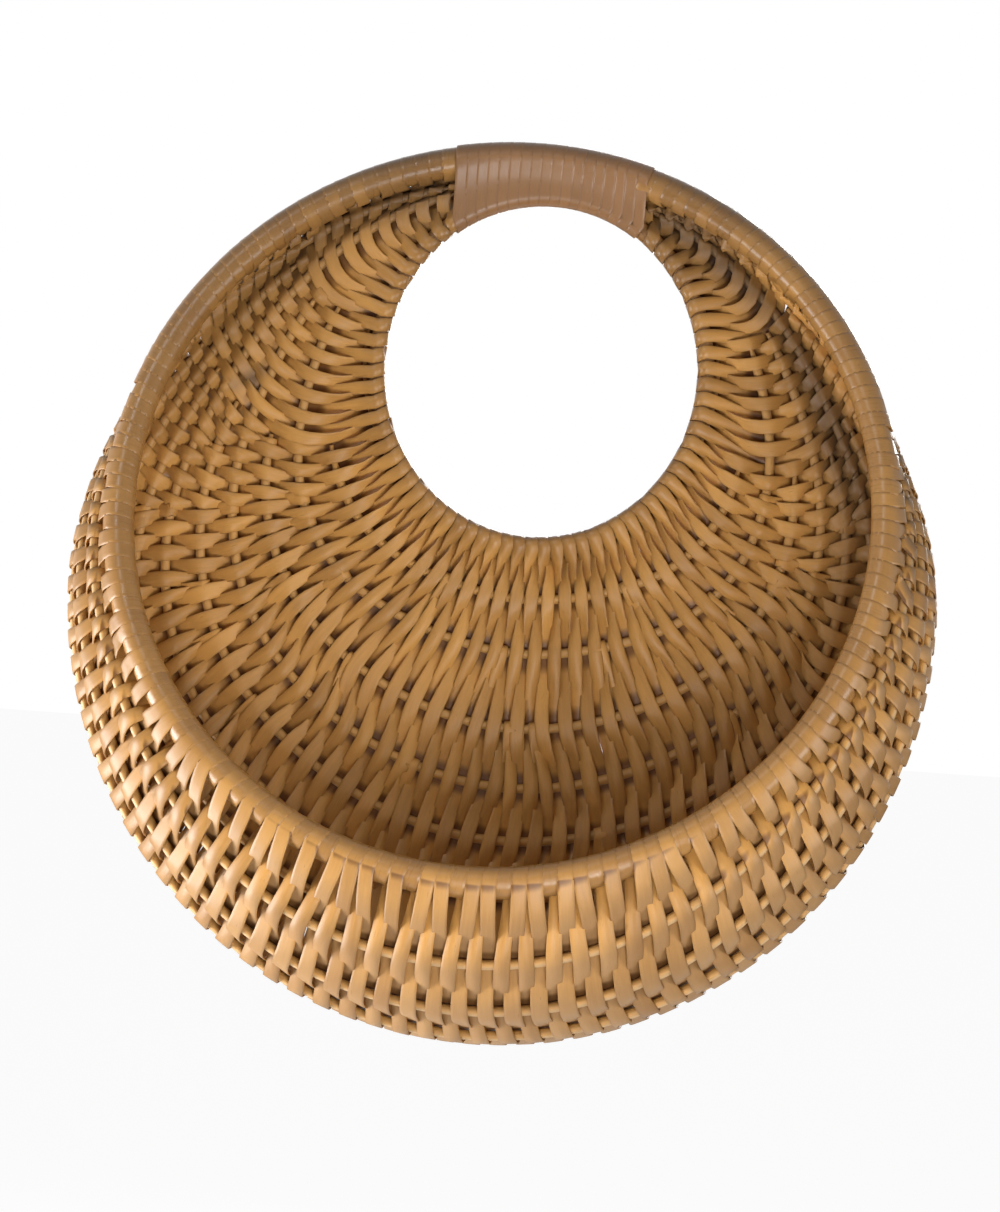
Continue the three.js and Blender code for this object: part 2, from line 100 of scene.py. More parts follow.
# How far each rib lies across the wall, from 0 at the ring to 1 at the rim: under the ring and at the sides
RIB_SHARES_BELOW = (-0.01, 0.052, 0.127, 0.23, 0.312, 0.385, 0.462, 0.537, 0.613, 0.688, 0.763, 0.839, 0.922)
RIB_SHARES_BESIDE = (-0.02, 0.1, 0.19, 0.275, 0.36, 0.44, 0.525, 0.6, 0.68, 0.755, 0.84, 0.92, 0.985)
BELOW_REACH = 0.28
RIB_COUNT = len(RIB_SHARES_BELOW)

# A rib's ends: how far they stop short, over how many steps they taper, and to what share
RIB_END_INSET = 0.2
RIB_TAPER_STEPS = 5
RIB_END_SHARE = 0.45

# The first rib lies behind the ring's wraps, thinner than the others, and no splint turns over it
TUCKED_RIB = 1
TUCKED_RIB_RADIUS = 1.3 * MM
TUCKED_RIB_SETBACK = 1.2 * MM

# Where the weave starts and stops
ROOM_BESIDE_HOOP = 2 * MM
ROOM_BESIDE_GRIP = -3 * MM
PACKED_GAP = 0.3 * MM
PACKED_SPLINT = 1 * MM
LEAST_RIB_SPACING = 9.5 * MM
WIDEST_RIB_INTERVAL = 4

# Full rows on each side of the bottom centre, in pieces that each stand for two packed weavers
WEAVE_PIECES = 12
PACKED_WEAVERS_PER_PIECE = 2

# Short rows that fill out the rim side, row by row: the rib that each of them turns back at
SHORT_ROWS_LEFT = {
    1: [3], 3: [5], 4: [7], 5: [2], 6: [4], 8: [6], 9: [3],
    10: [8, 6, 4], 11: [6], 12: [9, 3], 13: [10, 8, 7, 5, 3],
    14: [6], 15: [4],
}
SHORT_ROWS_RIGHT = {
    1: [4], 2: [4], 4: [6], 5: [3], 7: [2], 8: [5], 9: [7],
    10: [9, 6, 3], 11: [5], 12: [8, 4], 13: [10, 9, 7, 5, 4],
    14: [6], 15: [3],
}
SHORT_ROW_LEAD = 0.015
SHORT_ROW_OPENING = 0.17
OPENED_SHARE = 0.3

# How the room for a splint changes from the ring to the rim, and from the bottom centre to a horn
RING_TO_RIM_PITCH = 0.67
RING_PITCH_GROWTH = 0.25
RIM_PITCH_PLACES = (0, 0.12, 0.3, 0.6, 0.85, 1)
RIM_PITCHES = (0.97, 1.07, 1.08, 0.98, 1.0, 1.05)
MIDDLE_PITCH_GROWTH = 0.16

# The splints' gathering at the bottom centre: by how much, at which shares, and how far it reaches
GATHER_SHARES = (0, 0.2, 0.35, 0.45, 0.7, 0.85, 1)
GATHERS = (0, 0, 0.1, 0.14, 0.15, 0.1, 0)
GATHER_REACH = 0.45

# How far the splints lean at the outside, away from the wall's own lines
LEFT_LEAN = math.radians(11)
RIGHT_LEAN = math.radians(5)
LEAN_RISE = 0.12
LEAN_FALL = 0.14
LEAN_END = 0.42

# How the splints fill that room
WIDTH_TO_ROOM = 1.32
WIDEST_SPLINT_SHARE = 1.2
SQUEEZE = 1.22
PINCH = 0.05
PETAL_BULGE = 1.6 * MM
WRAP_OVERLAP = 1.12
LEAST_ROOM_SHARE = 0.3

# How closely they lie on the hoops and ribs, and how their wraps on the rim tilt, stray and are set in
ROD_CLEARANCE = 0.12 * MM
RIB_CLEARANCE = 0.1 * MM
WRAP_TILT = 0.014
MOST_WRAP_STRAY = 0.42
WRAP_INSET = 0.25

# Where their turn on edge changes hands, and how it varies: by chance, beside the ring, and beside the rim on
# the way up, down, and down near the bottom centre
HAND_CHANGE = 0.06
TURN_SPREAD = 0.12
RING_TURN = 1.6
RIM_TURN_UP = 0.25
RIM_TURN_DOWN = 0.6
RIM_TURN_MIDDLE = 1.5
RIM_MIDDLE_REACH = 0.25

# Where two pieces of splint meet behind the rod that they turn round
PIECE_START = 0.52
PIECE_END = 0.48

# Toward a horn the splints lie flatter and a little wider, so that no light comes through
STRAIGHT_START = 0.38
STRAIGHT_REACH = 0.34
HORN_START = 0.5
HORN_REACH = 0.2
HORN_CALM = 0.6
HORN_WIDENING = 0.1

# From which part of the wall's line on they lie outside the belly, and how much flatter and wider
OUTSIDE_START = 0.5
OUTSIDE_REACH = 0.1
OUTSIDE_CALM = 0.6
OUTSIDE_WIDENING = 0.12

# Where the cane is darker, partly from stains and partly from painted shade beside the rim and deep in the
# pocket: u, share of the wall's line, how far in both, and how much
STAIN_AND_SHADE_PLACES = (
    (-0.8, 0.7, 0.22, 0.2, 0.75), (-0.96, 0.5, 0.07, 0.6, 0.7), (-0.85, 1.0, 0.25, 0.12, 0.12),
    (0.66, 0.5, 0.24, 0.13, 0.95), (0.93, 0.5, 0.09, 0.6, 0.75), (0.8, 0.3, 0.2, 0.3, 0.3),
    (0.35, 0.35, 0.2, 0.15, 0.15), (-0.615, 0.44, 0.012, 0.05, 1.0),
    (0.7, 0.93, 0.24, 0.06, 0.55), (-0.72, 0.93, 0.2, 0.06, 0.4),
)

# The grip's hollow front between both hoops
GRIP_BRIDGE_STEPS = 4
GRIP_HOLLOW = 1.2 * MM

# A small angle round a hoop, to find its direction by
NEARBY = 0.01

# Turns of the grip that were wound closer
NARROW_TURNS = 3
NARROW_SHARE = 0.84

# How far widths stray along a piece, and how its shade does, from 0 for dark to 1 for pale
ROD_WIDTH_CHANGE = 0.01
RIB_WIDTH_CHANGE = 0.04
SPLINT_WIDTH_CHANGE = 0.05
RIB_TONES = (0.3, 0.7)
SPLINT_TONES = (0.35, 0.65)
SPLINT_TONE_CHANGE = 0.45
GRIP_TONE_CHANGE = 0.3

# How finely shapes are sampled
WALL_COLUMNS = 401
WALL_STEPS = 241
BEZIER_STEPS = 60
SHARE_STEPS = 101
BAY_STEPS = 8
TURN_STEP = math.radians(24)
RIB_STEP = 2.5 * MM
HOOP_STEPS = 240
GRIP_ARC_STEPS = 7

# The photograph's frame and camera
IMAGE_HEIGHT = 1212
FOCAL_PIXELS = 2262
SENSOR_SIZE = 36
CAMERA_DISTANCE = 0.95
CAMERA_AZIMUTH = math.radians(4.22)
CAMERA_ELEVATION = math.radians(3.37)
CAMERA_ROLL = math.radians(3.44)
CAMERA_TARGET = Vector((-7.55, -60, -173.8)) * MM

# The lamps: their places, how far they are across, and the settings of their power
LAMPS = (
    ("left_lamp", (-0.78, -0.18, -0.48), 0.6, "left"),
    ("right_lamp", (0.72, -0.48, -0.3), 0.4, "right"),
    ("upper_lamp", (-0.3, -0.6, 0.4), 0.12, "above"),
    ("low_lamp", (0.15, -0.78, -0.5), 0.3, "low"),
    ("front_lamp", (0.05, -0.5, -0.3), 0.3, "front"),
    ("back_lamp", (0.3, 1.1, 0.1), 0.9, "behind"),
)

# The floor: half its side, how far it lies below the basket, its grey, and how white the camera sees it
FLOOR_REACH = 6.0
FLOOR_DROP = 0.6
FLOOR_GREY = 0.85
FLOOR_GLOW = 1.12
FLOOR_GLOW_SHARE = 0.85

# A point in front of the pocket: the splints' inner faces look toward it
POCKET_CENTRE = (0, -0.15, -0.17)

RING = 0
RIM = RIB_COUNT + 1


def unit(vectors):
    """Rows of an array, each scaled to length 1"""
    return vectors / np.linalg.norm(vectors, axis=-1, keepdims=True)


def dot(a, b):
    return np.sum(a * b, axis=-1, keepdims=True)


def ramp(value, start, reach):
    """0 up to a start and 1 from a reach beyond it, with an even rise between"""
    return np.clip((value - start) / reach, 0, 1)


def distances(points):
    """How far each point of a line, or of every line of a grid, lies from the line's start"""
    steps = np.linalg.norm(np.diff(points, axis=-2), axis=-1)
    return np.concatenate([0 * steps[..., :1], np.cumsum(steps, axis=-1)], axis=-1)


def smoothed(values):
    """Values along a line, each the mean of the five round it"""
    return np.convolve(np.pad(values, 2, mode="edge"), np.ones(5) / 5, mode="valid")


def packed_reach(rod_radius):
    """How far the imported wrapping's outer face stands from the middle of a rod"""
    return (rod_radius + PACKED_GAP) / ROD_FLATS + PACKED_SPLINT


class Hoops:
    """The ring and the rim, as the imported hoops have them"""

    def __init__(self):
        self.ring_centre, half = self.middle(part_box("inner_ring_hoop"), RING_ROD_RADIUS)
        self.ring_half_width, self.ring_half_height = half[0], half[2]
        self.rim_centre, half = self.middle(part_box("front_rim_hoop"), RIM_ROD_RADIUS)
        self.rim_radius = half[0]
        lean = math.atan2(half[1], half[2])
        self.rim_down = np.array([0, -math.sin(lean), -math.cos(lean)])
        low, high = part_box("grip_wrap")
        self.grip_length = high[0] - low[0]
        weave_start = self.grip_length / 2 + ROOM_BESIDE_GRIP
        self.ring_horn = math.pi - math.asin(weave_start / self.ring_half_width)
        self.left_horn = math.pi - math.asin((weave_start + self.rim_centre[0]) / self.rim_radius)
        self.right_horn = math.pi - math.asin((weave_start - self.rim_centre[0]) / self.rim_radius)

    @staticmethod
    def middle(box, rod_radius):
        """The centre of a packed hoop's box, and half the hoop's size between the middles of its rod"""
        low, high = (np.array(corner) for corner in box)
        return (low + high) / 2, (high - low) / 2 - rod_radius * ROD_FLATS

    def ring_point(self, angle):
        """Points on the ring; angles start at its bottom and grow toward +X"""
        angle = np.atleast_1d(angle)
        across = self.ring_half_width * np.sin(angle)
        down = -self.ring_half_height * np.cos(angle)
        return self.ring_centre + np.stack([across, 0 * angle, down], axis=-1)

    def rim_point(self, angle):
        angle = np.atleast_1d(angle)
        across = np.stack([np.sin(angle), 0 * angle, 0 * angle], axis=-1)
        return self.rim_centre + self.rim_radius * (across + np.cos(angle)[:, None] * self.rim_down)

    def ring_angle(self, u):
        return u * self.ring_horn

    def rim_angle(self, u):
        return -self.left_horn + (self.left_horn + self.right_horn) * (u + 1) / 2


def bezier(p0, p1, p2, p3):
    """Points along one cubic curve for every row of the four control points"""
    t = np.linspace(0, 1, BEZIER_STEPS)[None, :, None]
    s = 1 - t
    p0, p1, p2, p3 = (p[:, None, :] for p in (p0, p1, p2, p3))
    return s**3 * p0 + 3 * s**2 * t * p1 + 3 * s * t**2 * p2 + t**3 * p3


def stain_and_shade(u, fraction):
    """How dark a place of the wall is made, from 0 to 1: partly stains, partly painted shade"""
    dark = 0 * u * fraction
    for place_u, place_fraction, reach_u, reach_fraction, amount in STAIN_AND_SHADE_PLACES:
        away = ((u - place_u) / reach_u) ** 2 + ((fraction - place_fraction) / reach_fraction) ** 2
        dark = dark + amount * np.exp(-away)
    return np.clip(dark, 0, 1)


def hermite(t, start, end, start_slope, end_slope):
    """A smooth change from start to end as t goes from 0 to 1, with a given slope at both"""
    change = 3 * t**2 - 2 * t**3
    return start + (end - start) * change + start_slope * (t**3 - 2 * t**2 + t) + end_slope * (t**3 - t**2)


class Wall:
    """The basket's wall, sampled from the ring to the rim and from horn to horn"""

    def __init__(self, hoops):
        self.hoops = hoops
        self.columns = np.linspace(-1, 1, WALL_COLUMNS)
        lines = self.profiles()
        travelled = distances(lines)
        self.lengths = travelled[:, -1]
        self.fractions = np.linspace(0, 1, WALL_STEPS)
        points = np.empty((WALL_COLUMNS, WALL_STEPS, 3))
        for column in range(WALL_COLUMNS):
            at = travelled[column] / self.lengths[column]
            for axis in range(3):
                points[column, :, axis] = np.interp(self.fractions, at, lines[column, :, axis])
        stretch = np.gradient(points, self.columns, axis=0)
        along = unit(stretch)
        toward_rim = np.gradient(points, axis=1)
        out = unit(np.cross(along, toward_rim))
        speed = np.linalg.norm(stretch, axis=-1, keepdims=True)
        self.grid = np.concatenate([points, out, along, speed], axis=-1)

    def profiles(self):
        """The wall's lines from the ring down the back, round the belly and up to the rim"""
        hoops = self.hoops
        angle = hoops.rim_angle(self.columns)
        ring = hoops.ring_point(hoops.ring_angle(self.columns))
        rim = hoops.rim_point(angle)
        outward = unit((rim - hoops.rim_centre) * [1, 0, 1])
        tuck = hermite(ramp(abs(angle), TUCK_START, TUCK_REACH), 0, SIDE_TUCK, 0, 0)
        bulge = (BELLY_DROP * np.exp(-((angle / BELLY_SPREAD) ** 2)) - tuck)[:, None]
        widest = rim + outward * bulge
        widest[:, 1] = ring[:, 1] + (rim[:, 1] - ring[:, 1]) * BELLY_DEPTH_SHARE
        back_corner = np.stack([widest[:, 0], ring[:, 1], widest[:, 2]], axis=-1)
        front_corner = widest.copy()
        front_corner[:, 1] += (rim[:, 1] - widest[:, 1]) * FRONT_FULLNESS
        below_rim = rim + outward * bulge * RIM_RISE_SHARE
        below_rim[:, 1] -= bulge[:, 0] * RIM_OVERHANG_SHARE
        flat_handle = ring + (back_corner - ring) * BACK_FLATNESS
        round_handle = widest + (back_corner - widest) * BACK_ROUNDNESS
        back = bezier(ring, flat_handle, round_handle, widest)
        front = bezier(widest, front_corner, below_rim, rim)
        return np.concatenate([back, front[:, 1:]], axis=1)

    def length(self, u):
        return np.interp(u, self.columns, self.lengths)

    def fraction(self, u, share):
        """The place of a share along the wall's line, which keeps clear of both hoops' wrapping"""
        length = self.length(u)
        ring_room = packed_reach(RING_ROD_RADIUS) + ROOM_BESIDE_HOOP
        rim_room = packed_reach(RIM_ROD_RADIUS) + ROOM_BESIDE_HOOP
        return (ring_room + share * (length - ring_room - rim_room)) / length

    def free_length(self, u):
        rooms = packed_reach(RING_ROD_RADIUS) + packed_reach(RIM_ROD_RADIUS) + 2 * ROOM_BESIDE_HOOP
        return self.length(u) - rooms

    def at(self, u, fraction):
        """Point, outward direction, direction along the ribs and metres per u, at each place"""
        u, fraction = np.broadcast_arrays(np.atleast_1d(u), np.atleast_1d(fraction))
        column = np.clip((u + 1) / 2, 0, 1) * (WALL_COLUMNS - 1)
        step = np.clip(fraction, 0, 1) * (WALL_STEPS - 1)
        i = np.minimum(column.astype(int), WALL_COLUMNS - 2)
        j = np.minimum(step.astype(int), WALL_STEPS - 2)
        a = (column - i)[:, None]
        b = (step - j)[:, None]
        grid = self.grid
        near = grid[i, j] * (1 - a) + grid[i + 1, j] * a
        far = grid[i, j + 1] * (1 - a) + grid[i + 1, j + 1] * a
        values = near * (1 - b) + far * b
        return values[:, 0:3], unit(values[:, 3:6]), unit(values[:, 6:9]), values[:, 9]

    def speed(self, u, fraction):
        """Metres per u at one place"""
        return self.at(u, fraction)[3][0]


def warp_share(warp, u):
    """How far a rib lies across the wall, from 0 at the ring to 1 at the rim"""
    if warp in (RING, RIM):
        return 0 * u + (warp == RIM)
    below, beside = RIB_SHARES_BELOW[warp - 1], RIB_SHARES_BESIDE[warp - 1]
    return beside + (below - beside) * np.exp(-abs(u / BELOW_REACH) ** 3)


class Layout:
    """Where every pass of the splints lies: its rows, its edges and the ribs that it meets"""

    def __init__(self, wall, rows_per_side):
        self.wall = wall
        self.shares = np.linspace(0, 1, SHARE_STEPS)
        left = self.side_passes(rows_per_side, SHORT_ROWS_LEFT, -1)
        self.passes = left[::-1] + self.side_passes(rows_per_side, SHORT_ROWS_RIGHT, 1)
        widths = np.stack([self.pass_widths(one) for one in self.passes], axis=1)
        edges = np.concatenate([np.zeros((SHARE_STEPS, 1)), np.cumsum(widths, axis=1)], axis=1)
        edges = 2 * edges / edges[:, -1:] - 1
        gather = np.interp(self.shares, GATHER_SHARES, GATHERS)[:, None]
        edges = edges * (1 - gather * np.exp(-((edges / GATHER_REACH) ** 2)))
        straight = edges[:1] + (edges[-1:] - edges[:1]) * self.shares[:, None]
        horn = ramp(abs(edges[:1]), STRAIGHT_START, STRAIGHT_REACH)
        self.edges = edges + (straight - edges) * horn * horn * (3 - 2 * horn)
        self.cells = [self.active_warps(cell) for cell in range(len(self.passes) // 2)]

    @staticmethod
    def side_passes(rows_per_side, short_rows, side):
        """Passes from the bottom centre to a horn, each full row with its short rows inside it: the share
        that a short one starts at, and its place up the side"""
        passes = []
        for row in range(1, rows_per_side + 1):
            place = row / rows_per_side
            shorts = []
            for rib in short_rows.get(row, []):
                start = float(warp_share(rib, side * row / rows_per_side)) - SHORT_ROW_LEAD
                shorts += [(start, place)] * 2
            passes += [(None, place), *shorts, (None, place)]
        return passes

    def pass_widths(self, one):
        start, place = one
        rim_width = np.interp(place, RIM_PITCH_PLACES, RIM_PITCHES)
        ring_width = RING_TO_RIM_PITCH * (1 + RING_PITCH_GROWTH * (place - 0.5))
        middle = 1 + MIDDLE_PITCH_GROWTH * (place - 0.5) * 4 * self.shares * (1 - self.shares)
        width = (ring_width + (rim_width - ring_width) * self.shares) * middle
        if start is None:
            return width
        return width * ramp(self.shares, start, SHORT_ROW_OPENING)

    def edge(self, number, share):
        """u of the edge before a pass; half numbers give the middle of a pass"""
        whole = int(number)
        line = self.edges[:, whole]
        if number > whole:
            line = line + (self.edges[:, whole + 1] - line) * (number - whole)
        return np.interp(share, self.shares, line)

    def meeting(self, number, warp):
        """u and share at which a pass, or the edge before it, meets a rib"""
        u = self.edge(number, 0.5)
        for _ in range(4):
            u = self.edge(number, warp_share(warp, u))
        return float(u), float(warp_share(warp, u))

    def active_warps(self, cell):
        """The ribs that a pair of passes meets: toward the horns every second one stops, and again"""
        free = self.wall.free_length(self.edge(2 * cell + 1, 0.5))
        step = 1 / (RIB_COUNT - 1)
        interval = 1
        while interval < WIDEST_RIB_INTERVAL and interval * step * free < LEAST_RIB_SPACING:
            interval *= 2
        ribs = [rib for rib in range(1, RIB_COUNT + 1) if rib % interval == interval - 1 and rib > interval]
        return [RING, *ribs, RIM]

    def warps_of(self, number):
        """The warps a pass meets from the ring side to the rim; a short row starts at its turning rib"""
        active = self.cells[number // 2]
        start = self.passes[number][0]
        if start is None:
            return active
        opened = start + OPENED_SHARE * SHORT_ROW_LEAD
        return [warp for warp in active[1:] if warp == RIM or self.meeting(number + 0.5, warp)[1] >= opened]

    def side_of(self, number, warp):
        """1 where a pass lies outside a warp and -1 inside; passes going up end outside the rim"""
        active = self.cells[number // 2]
        steps = len(active) - 1 - active.index(warp)
        at_rim = 1 if number % 2 == 0 else -1
        return at_rim if steps % 2 == 0 else -at_rim


class Strip:
    """Sections of one splint, gathered in order, then skinned as a mesh"""

    def __init__(self):
        # One part holds how dark stains and painted shade make each section
        self.parts = {key: [] for key in ("centre", "wide", "twist", "width", "wrapped", "stain_and_shade", "side")}

    def add(self, centre, wide, *values):
        """Adds sections: their centres and width directions, and the other parts' values in order"""
        values = (np.broadcast_to(value, len(centre)) for value in values)
        for part, value in zip(self.parts.values(), (centre, wide, *values)):
            part.append(value)

    def joined(self):
        return {key: np.concatenate(value) for key, value in self.parts.items()}


# Corners of a splint's section, outer face first, as shares of width and thickness: on its way over the
# ribs, and flatter where it is wrapped round a hoop
FLAT_SECTION = np.array(
    [(-0.5, 0.2), (-0.475, 0.42), (-0.3, 0.49), (0, 0.5), (0.3, 0.49),
     (0.475, 0.42), (0.5, 0.2), (0.46, -0.4), (0, -0.45), (-0.46, -0.4)]
)
WRAP_SECTION = np.array(
    [(-0.5, 0.38), (-0.485, 0.485), (-0.3, 0.5), (0, 0.5), (0.3, 0.5),
     (0.485, 0.485), (0.5, 0.38), (0.46, -0.4), (0, -0.45), (-0.46, -0.4)]
)
ROUND_SIDES = 14
ROUND_SECTION = np.array(
    [(0.5 * math.cos(a), 0.5 * math.sin(a)) for a in np.arange(ROUND_SIDES) * 2 * math.pi / ROUND_SIDES]
)[::-1]


def skin(name, centre, wide, face, width, thickness, section, closed=False, **values):
    """A mesh object with one section at every centre, and its surface's values kept as attributes"""
    count, sides = len(centre), section.shape[-2]
    section = np.broadcast_to(section, (count, sides, 2))
    width = np.broadcast_to(width, count)[:, None, None]
    thickness = np.broadcast_to(thickness, count)[:, None, None]
    across = section[:, :, 0:1] * width * wide[:, None, :]
    deep = section[:, :, 1:2] * thickness * face[:, None, :]
    points = (centre[:, None, :] + across + deep).reshape(-1, 3)
    links = count if closed else count - 1
    here = np.arange(links)[:, None] * sides + np.arange(sides)[None, :]
    side = np.arange(links)[:, None] * sides + (np.arange(sides)[None, :] + 1) % sides
    size = count * sides
    quads = np.stack([here, side, (side + sides) % size, (here + sides) % size], axis=-1).reshape(-1, 4)
    faces = quads.tolist()
    if not closed:
        faces.append(list(range(sides))[::-1])
        faces.append(list(range(size - sides, size)))
    mesh = bpy.data.meshes.new(name)
    mesh.from_pydata(points.tolist(), [], faces)
    mesh.polygons.foreach_set("use_smooth", [True] * len(mesh.polygons))
    values["strip_along"] = distances(centre)
    for key, value in values.items():
        kept = mesh.attributes.new(key, "FLOAT", "POINT")
        kept.data.foreach_set("value", np.repeat(np.broadcast_to(value, count), sides).astype(np.float32))
    kept = mesh.attributes.new("strip_across", "FLOAT", "POINT")
    kept.data.foreach_set("value", (section[:, :, 0] * 2).ravel().astype(np.float32))
    piece = bpy.data.objects.new(name, mesh)
    bpy.context.scene.collection.objects.link(piece)
    return piece


def directions(centre, reference, closed=False):
    """Two unit directions across a line of points: the one nearest to a reference, and one square to it"""
    if closed:
        ahead = np.roll(centre, -1, axis=0) - np.roll(centre, 1, axis=0)
    else:
        ahead = np.gradient(centre, axis=0)
    ahead = unit(ahead)
    wide = unit(reference - dot(reference, ahead) * ahead)
    return wide, np.cross(wide, ahead)


def turned(wide, face, angle):
    """The same two directions, turned round the line by an angle"""
    return wide * np.cos(angle) + face * np.sin(angle), face * np.cos(angle) - wide * np.sin(angle)


def dress(piece, slot, cane, *nodes):
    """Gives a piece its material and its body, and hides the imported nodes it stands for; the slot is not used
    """
    piece.data.materials.append(cane)
    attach(piece, "root")
    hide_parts(*nodes)
    return piece


def wandering(random, count, reach, smooth):
    """Random values that change slowly along a line, from -1 to 1"""
    knots = random.uniform(-1, 1, max(int(count / reach) + 3, 4))
    places = np.linspace(0, len(knots) - 1, count)
    values = np.interp(places, np.arange(len(knots)), knots)
    kernel = np.ones(smooth) / smooth
    return np.convolve(np.pad(values, smooth // 2, mode="edge"), kernel, mode="same")[smooth // 2:][:count]


class Weave:
    """Turns the layout's passes into splints that bend over the ribs and round the hoops"""

    def __init__(self, wall, layout, sizes):
        self.wall = wall
        self.layout = layout
        self.width = sizes.splint_width
        self.thickness = sizes.splint_thickness
        self.twist_limit = sizes.twist_limit
        self.unevenness = sizes.unevenness
        self.random = np.random.default_rng(SEED)
        count = len(layout.passes)
        self.sway = self.random.normal(0, 1, (count, RIM + 1))
        self.lift = self.random.uniform(0, 1, (count, RIM + 1))
        self.turn = self.random.normal(0, 1, (count, RIM + 1))
        self.plan_wraps()

    def turn_radius(self, rod_radius):
        return rod_radius + ROD_CLEARANCE + self.thickness / 2

    def plan_wraps(self):
        """Shares the rim out among the pairs of passes, so that their wraps lie side by side"""
        travelled = distances(self.wall.at(self.wall.columns, 1)[0])
        total = round(travelled[-1] / self.width)
        pairs = len(self.layout.cells)
        self.rim_travel = travelled / travelled[-1] * total
        starts = np.interp([self.layout.edge(2 * pair, 1.0) for pair in range(pairs + 1)],
                           self.wall.columns, self.rim_travel)
        starts[1:-1] += self.random.uniform(-MOST_WRAP_STRAY, MOST_WRAP_STRAY, pairs - 1)
        self.wrap_starts = np.round(starts).astype(int)
        for pair in range(pairs):
            self.wrap_starts[pair + 1] = max(self.wrap_starts[pair + 1], self.wrap_starts[pair] + 1)

    def wrap_u(self, wrap):
        return np.interp(wrap, self.rim_travel, self.wall.columns)

    def crest(self):
        """How high the middle of a splint stands where it passes over a rib"""
        return RIB_RADIUS + RIB_CLEARANCE + self.thickness / 2

    def tangent(self, radius, away, high):
        """The angle past its crest at which a splint leaves a rod to run to a point"""
        reach = math.hypot(away, high)
        return math.asin(min(radius / reach, 1)) - math.atan2(high, away)

    def ends(self, number):
        """u of a pass at both its ends: at the ring or its turning rib, and on the rim's wraps"""
        pair = number // 2
        if number % 2 == 0:
            wrap = self.wrap_starts[pair] + WRAP_INSET
        else:
            wrap = self.wrap_starts[pair + 1] - WRAP_INSET
        return self.layout.edge(number + 0.5, 0.0), float(self.wrap_u(wrap))

    def stands(self, number):
        """Every warp that a pass meets: its u, its distance from the ring, and its height on its side"""
        warps = self.layout.warps_of(number)
        at_ring, at_rim = self.ends(number)
        found = []
        for warp in warps:
            side = self.layout.side_of(number, warp)
            if warp == RING:
                u, fraction, height = at_ring, 0.0, self.turn_radius(RING_ROD_RADIUS)
            elif warp == RIM:
                u, fraction, height = at_rim, 1.0, self.turn_radius(RIM_ROD_RADIUS)
            else:
                u, share = self.layout.meeting(number + 0.5, warp)
                fraction = float(self.wall.fraction(u, share))
                u += self.sway[number, warp] * self.unevenness / self.wall.speed(u, fraction)
                height = self.crest() + self.lift[number, warp] * self.unevenness
            distance = fraction * float(self.wall.length(u))
            lean = side * self.lean(u, fraction)
            found.append({"warp": warp, "u": u, "at": distance, "side": side, "high": height, "lean": lean})
        return found

    def lean(self, u, fraction):
        """u per metre that a splint outside the wall leans by"""
        most = LEFT_LEAN if u < 0 else RIGHT_LEAN
        reach = ramp(abs(u), 0, LEAN_RISE) * (1 - ramp(abs(u), LEAN_END - LEAN_FALL, LEAN_FALL))
        below = ramp(fraction, OUTSIDE_START, OUTSIDE_REACH) * (fraction < 1)
        return -math.copysign(math.tan(most * reach * below), u) / self.wall.speed(u, fraction)

    def leaving(self, number):
        """The angles past the crest at which a pass leaves its first and last rods"""
        stands = self.stands(number)
        first, second, before, last = stands[0], stands[1], stands[-2], stands[-1]
        start = self.tangent(first["high"], second["at"] - first["at"], -second["high"])
        end = self.tangent(last["high"], last["at"] - before["at"], -before["high"])
        return start, end

    def parting(self, number, stand):
        """The angle round its first rod at which a pass parts from it; 0 is outside and pi inside"""
        return (0 if stand["side"] > 0 else math.pi) - stand["side"] * self.leaving(number)[0]

    @staticmethod
    def touch(stand, angle, way):
        """Distance, height and slope of a splint where it leaves a rod, an angle past the crest"""
        distance = stand["at"] + way * stand["high"] * math.sin(angle)
        return distance, stand["side"] * stand["high"] * math.cos(angle), -way * stand["side"] * math.tan(angle)

    def pass_sections(self, strip, number):
        """The run of a pass between its two turns, over and under the ribs"""
        stands = self.stands(number)
        start, end = self.leaving(number)
        drift = np.gradient([stand["u"] for stand in stands], [stand["at"] for stand in stands])
        drift += [stand["lean"] for stand in stands]
        rows = {"u": [], "at": [], "high": [], "twist": [], "width": []}
        for place, (a, b) in enumerate(zip(stands, stands[1:])):
            last = place == len(stands) - 2
            at_a, high_a, slope_a = self.touch(a, start if place == 0 else 0.0, 1)
            at_b, high_b, slope_b = self.touch(b, end if last else 0.0, -1)
            t = np.linspace(0, 1, BAY_STEPS + 1)
            t = t if last else t[:-1]
            span = at_b - at_a
            rows["at"].append(at_a + t * span)
            rows["u"].append(hermite(t, a["u"], b["u"], drift[place] * span, drift[place + 1] * span))
            rows["high"].append(hermite(t, high_a, high_b, slope_a * span, slope_b * span))
            twist, width = self.bay_fit(number, a, b)
            bump = np.sin(math.pi * t)
            if b["warp"] == RIM and number % 2 == 0:
                rows["high"][-1] += PETAL_BULGE * bump**2
            rows["twist"].append(twist * bump**2.5)
            rows["width"].append(width * (1 - PINCH * bump**2))
        u, at, high, twist, width = (np.concatenate(rows[key]) for key in rows)
        width = smoothed(width)
        fraction = at / self.wall.length(u)
        point, out, along, _ = self.wall.at(u, fraction)
        centre = point + out * high[:, None]
        # Stains and painted shade for each section, and its height over a rib as a share of the crest
        dark, side = stain_and_shade(u, fraction), np.clip(high / self.crest(), -1, 1)
        way = -1 if number % 2 else 1
        sections = (centre, along, way * twist, width, 0 * width, dark, side)
        strip.add(*(values[::way] for values in sections))

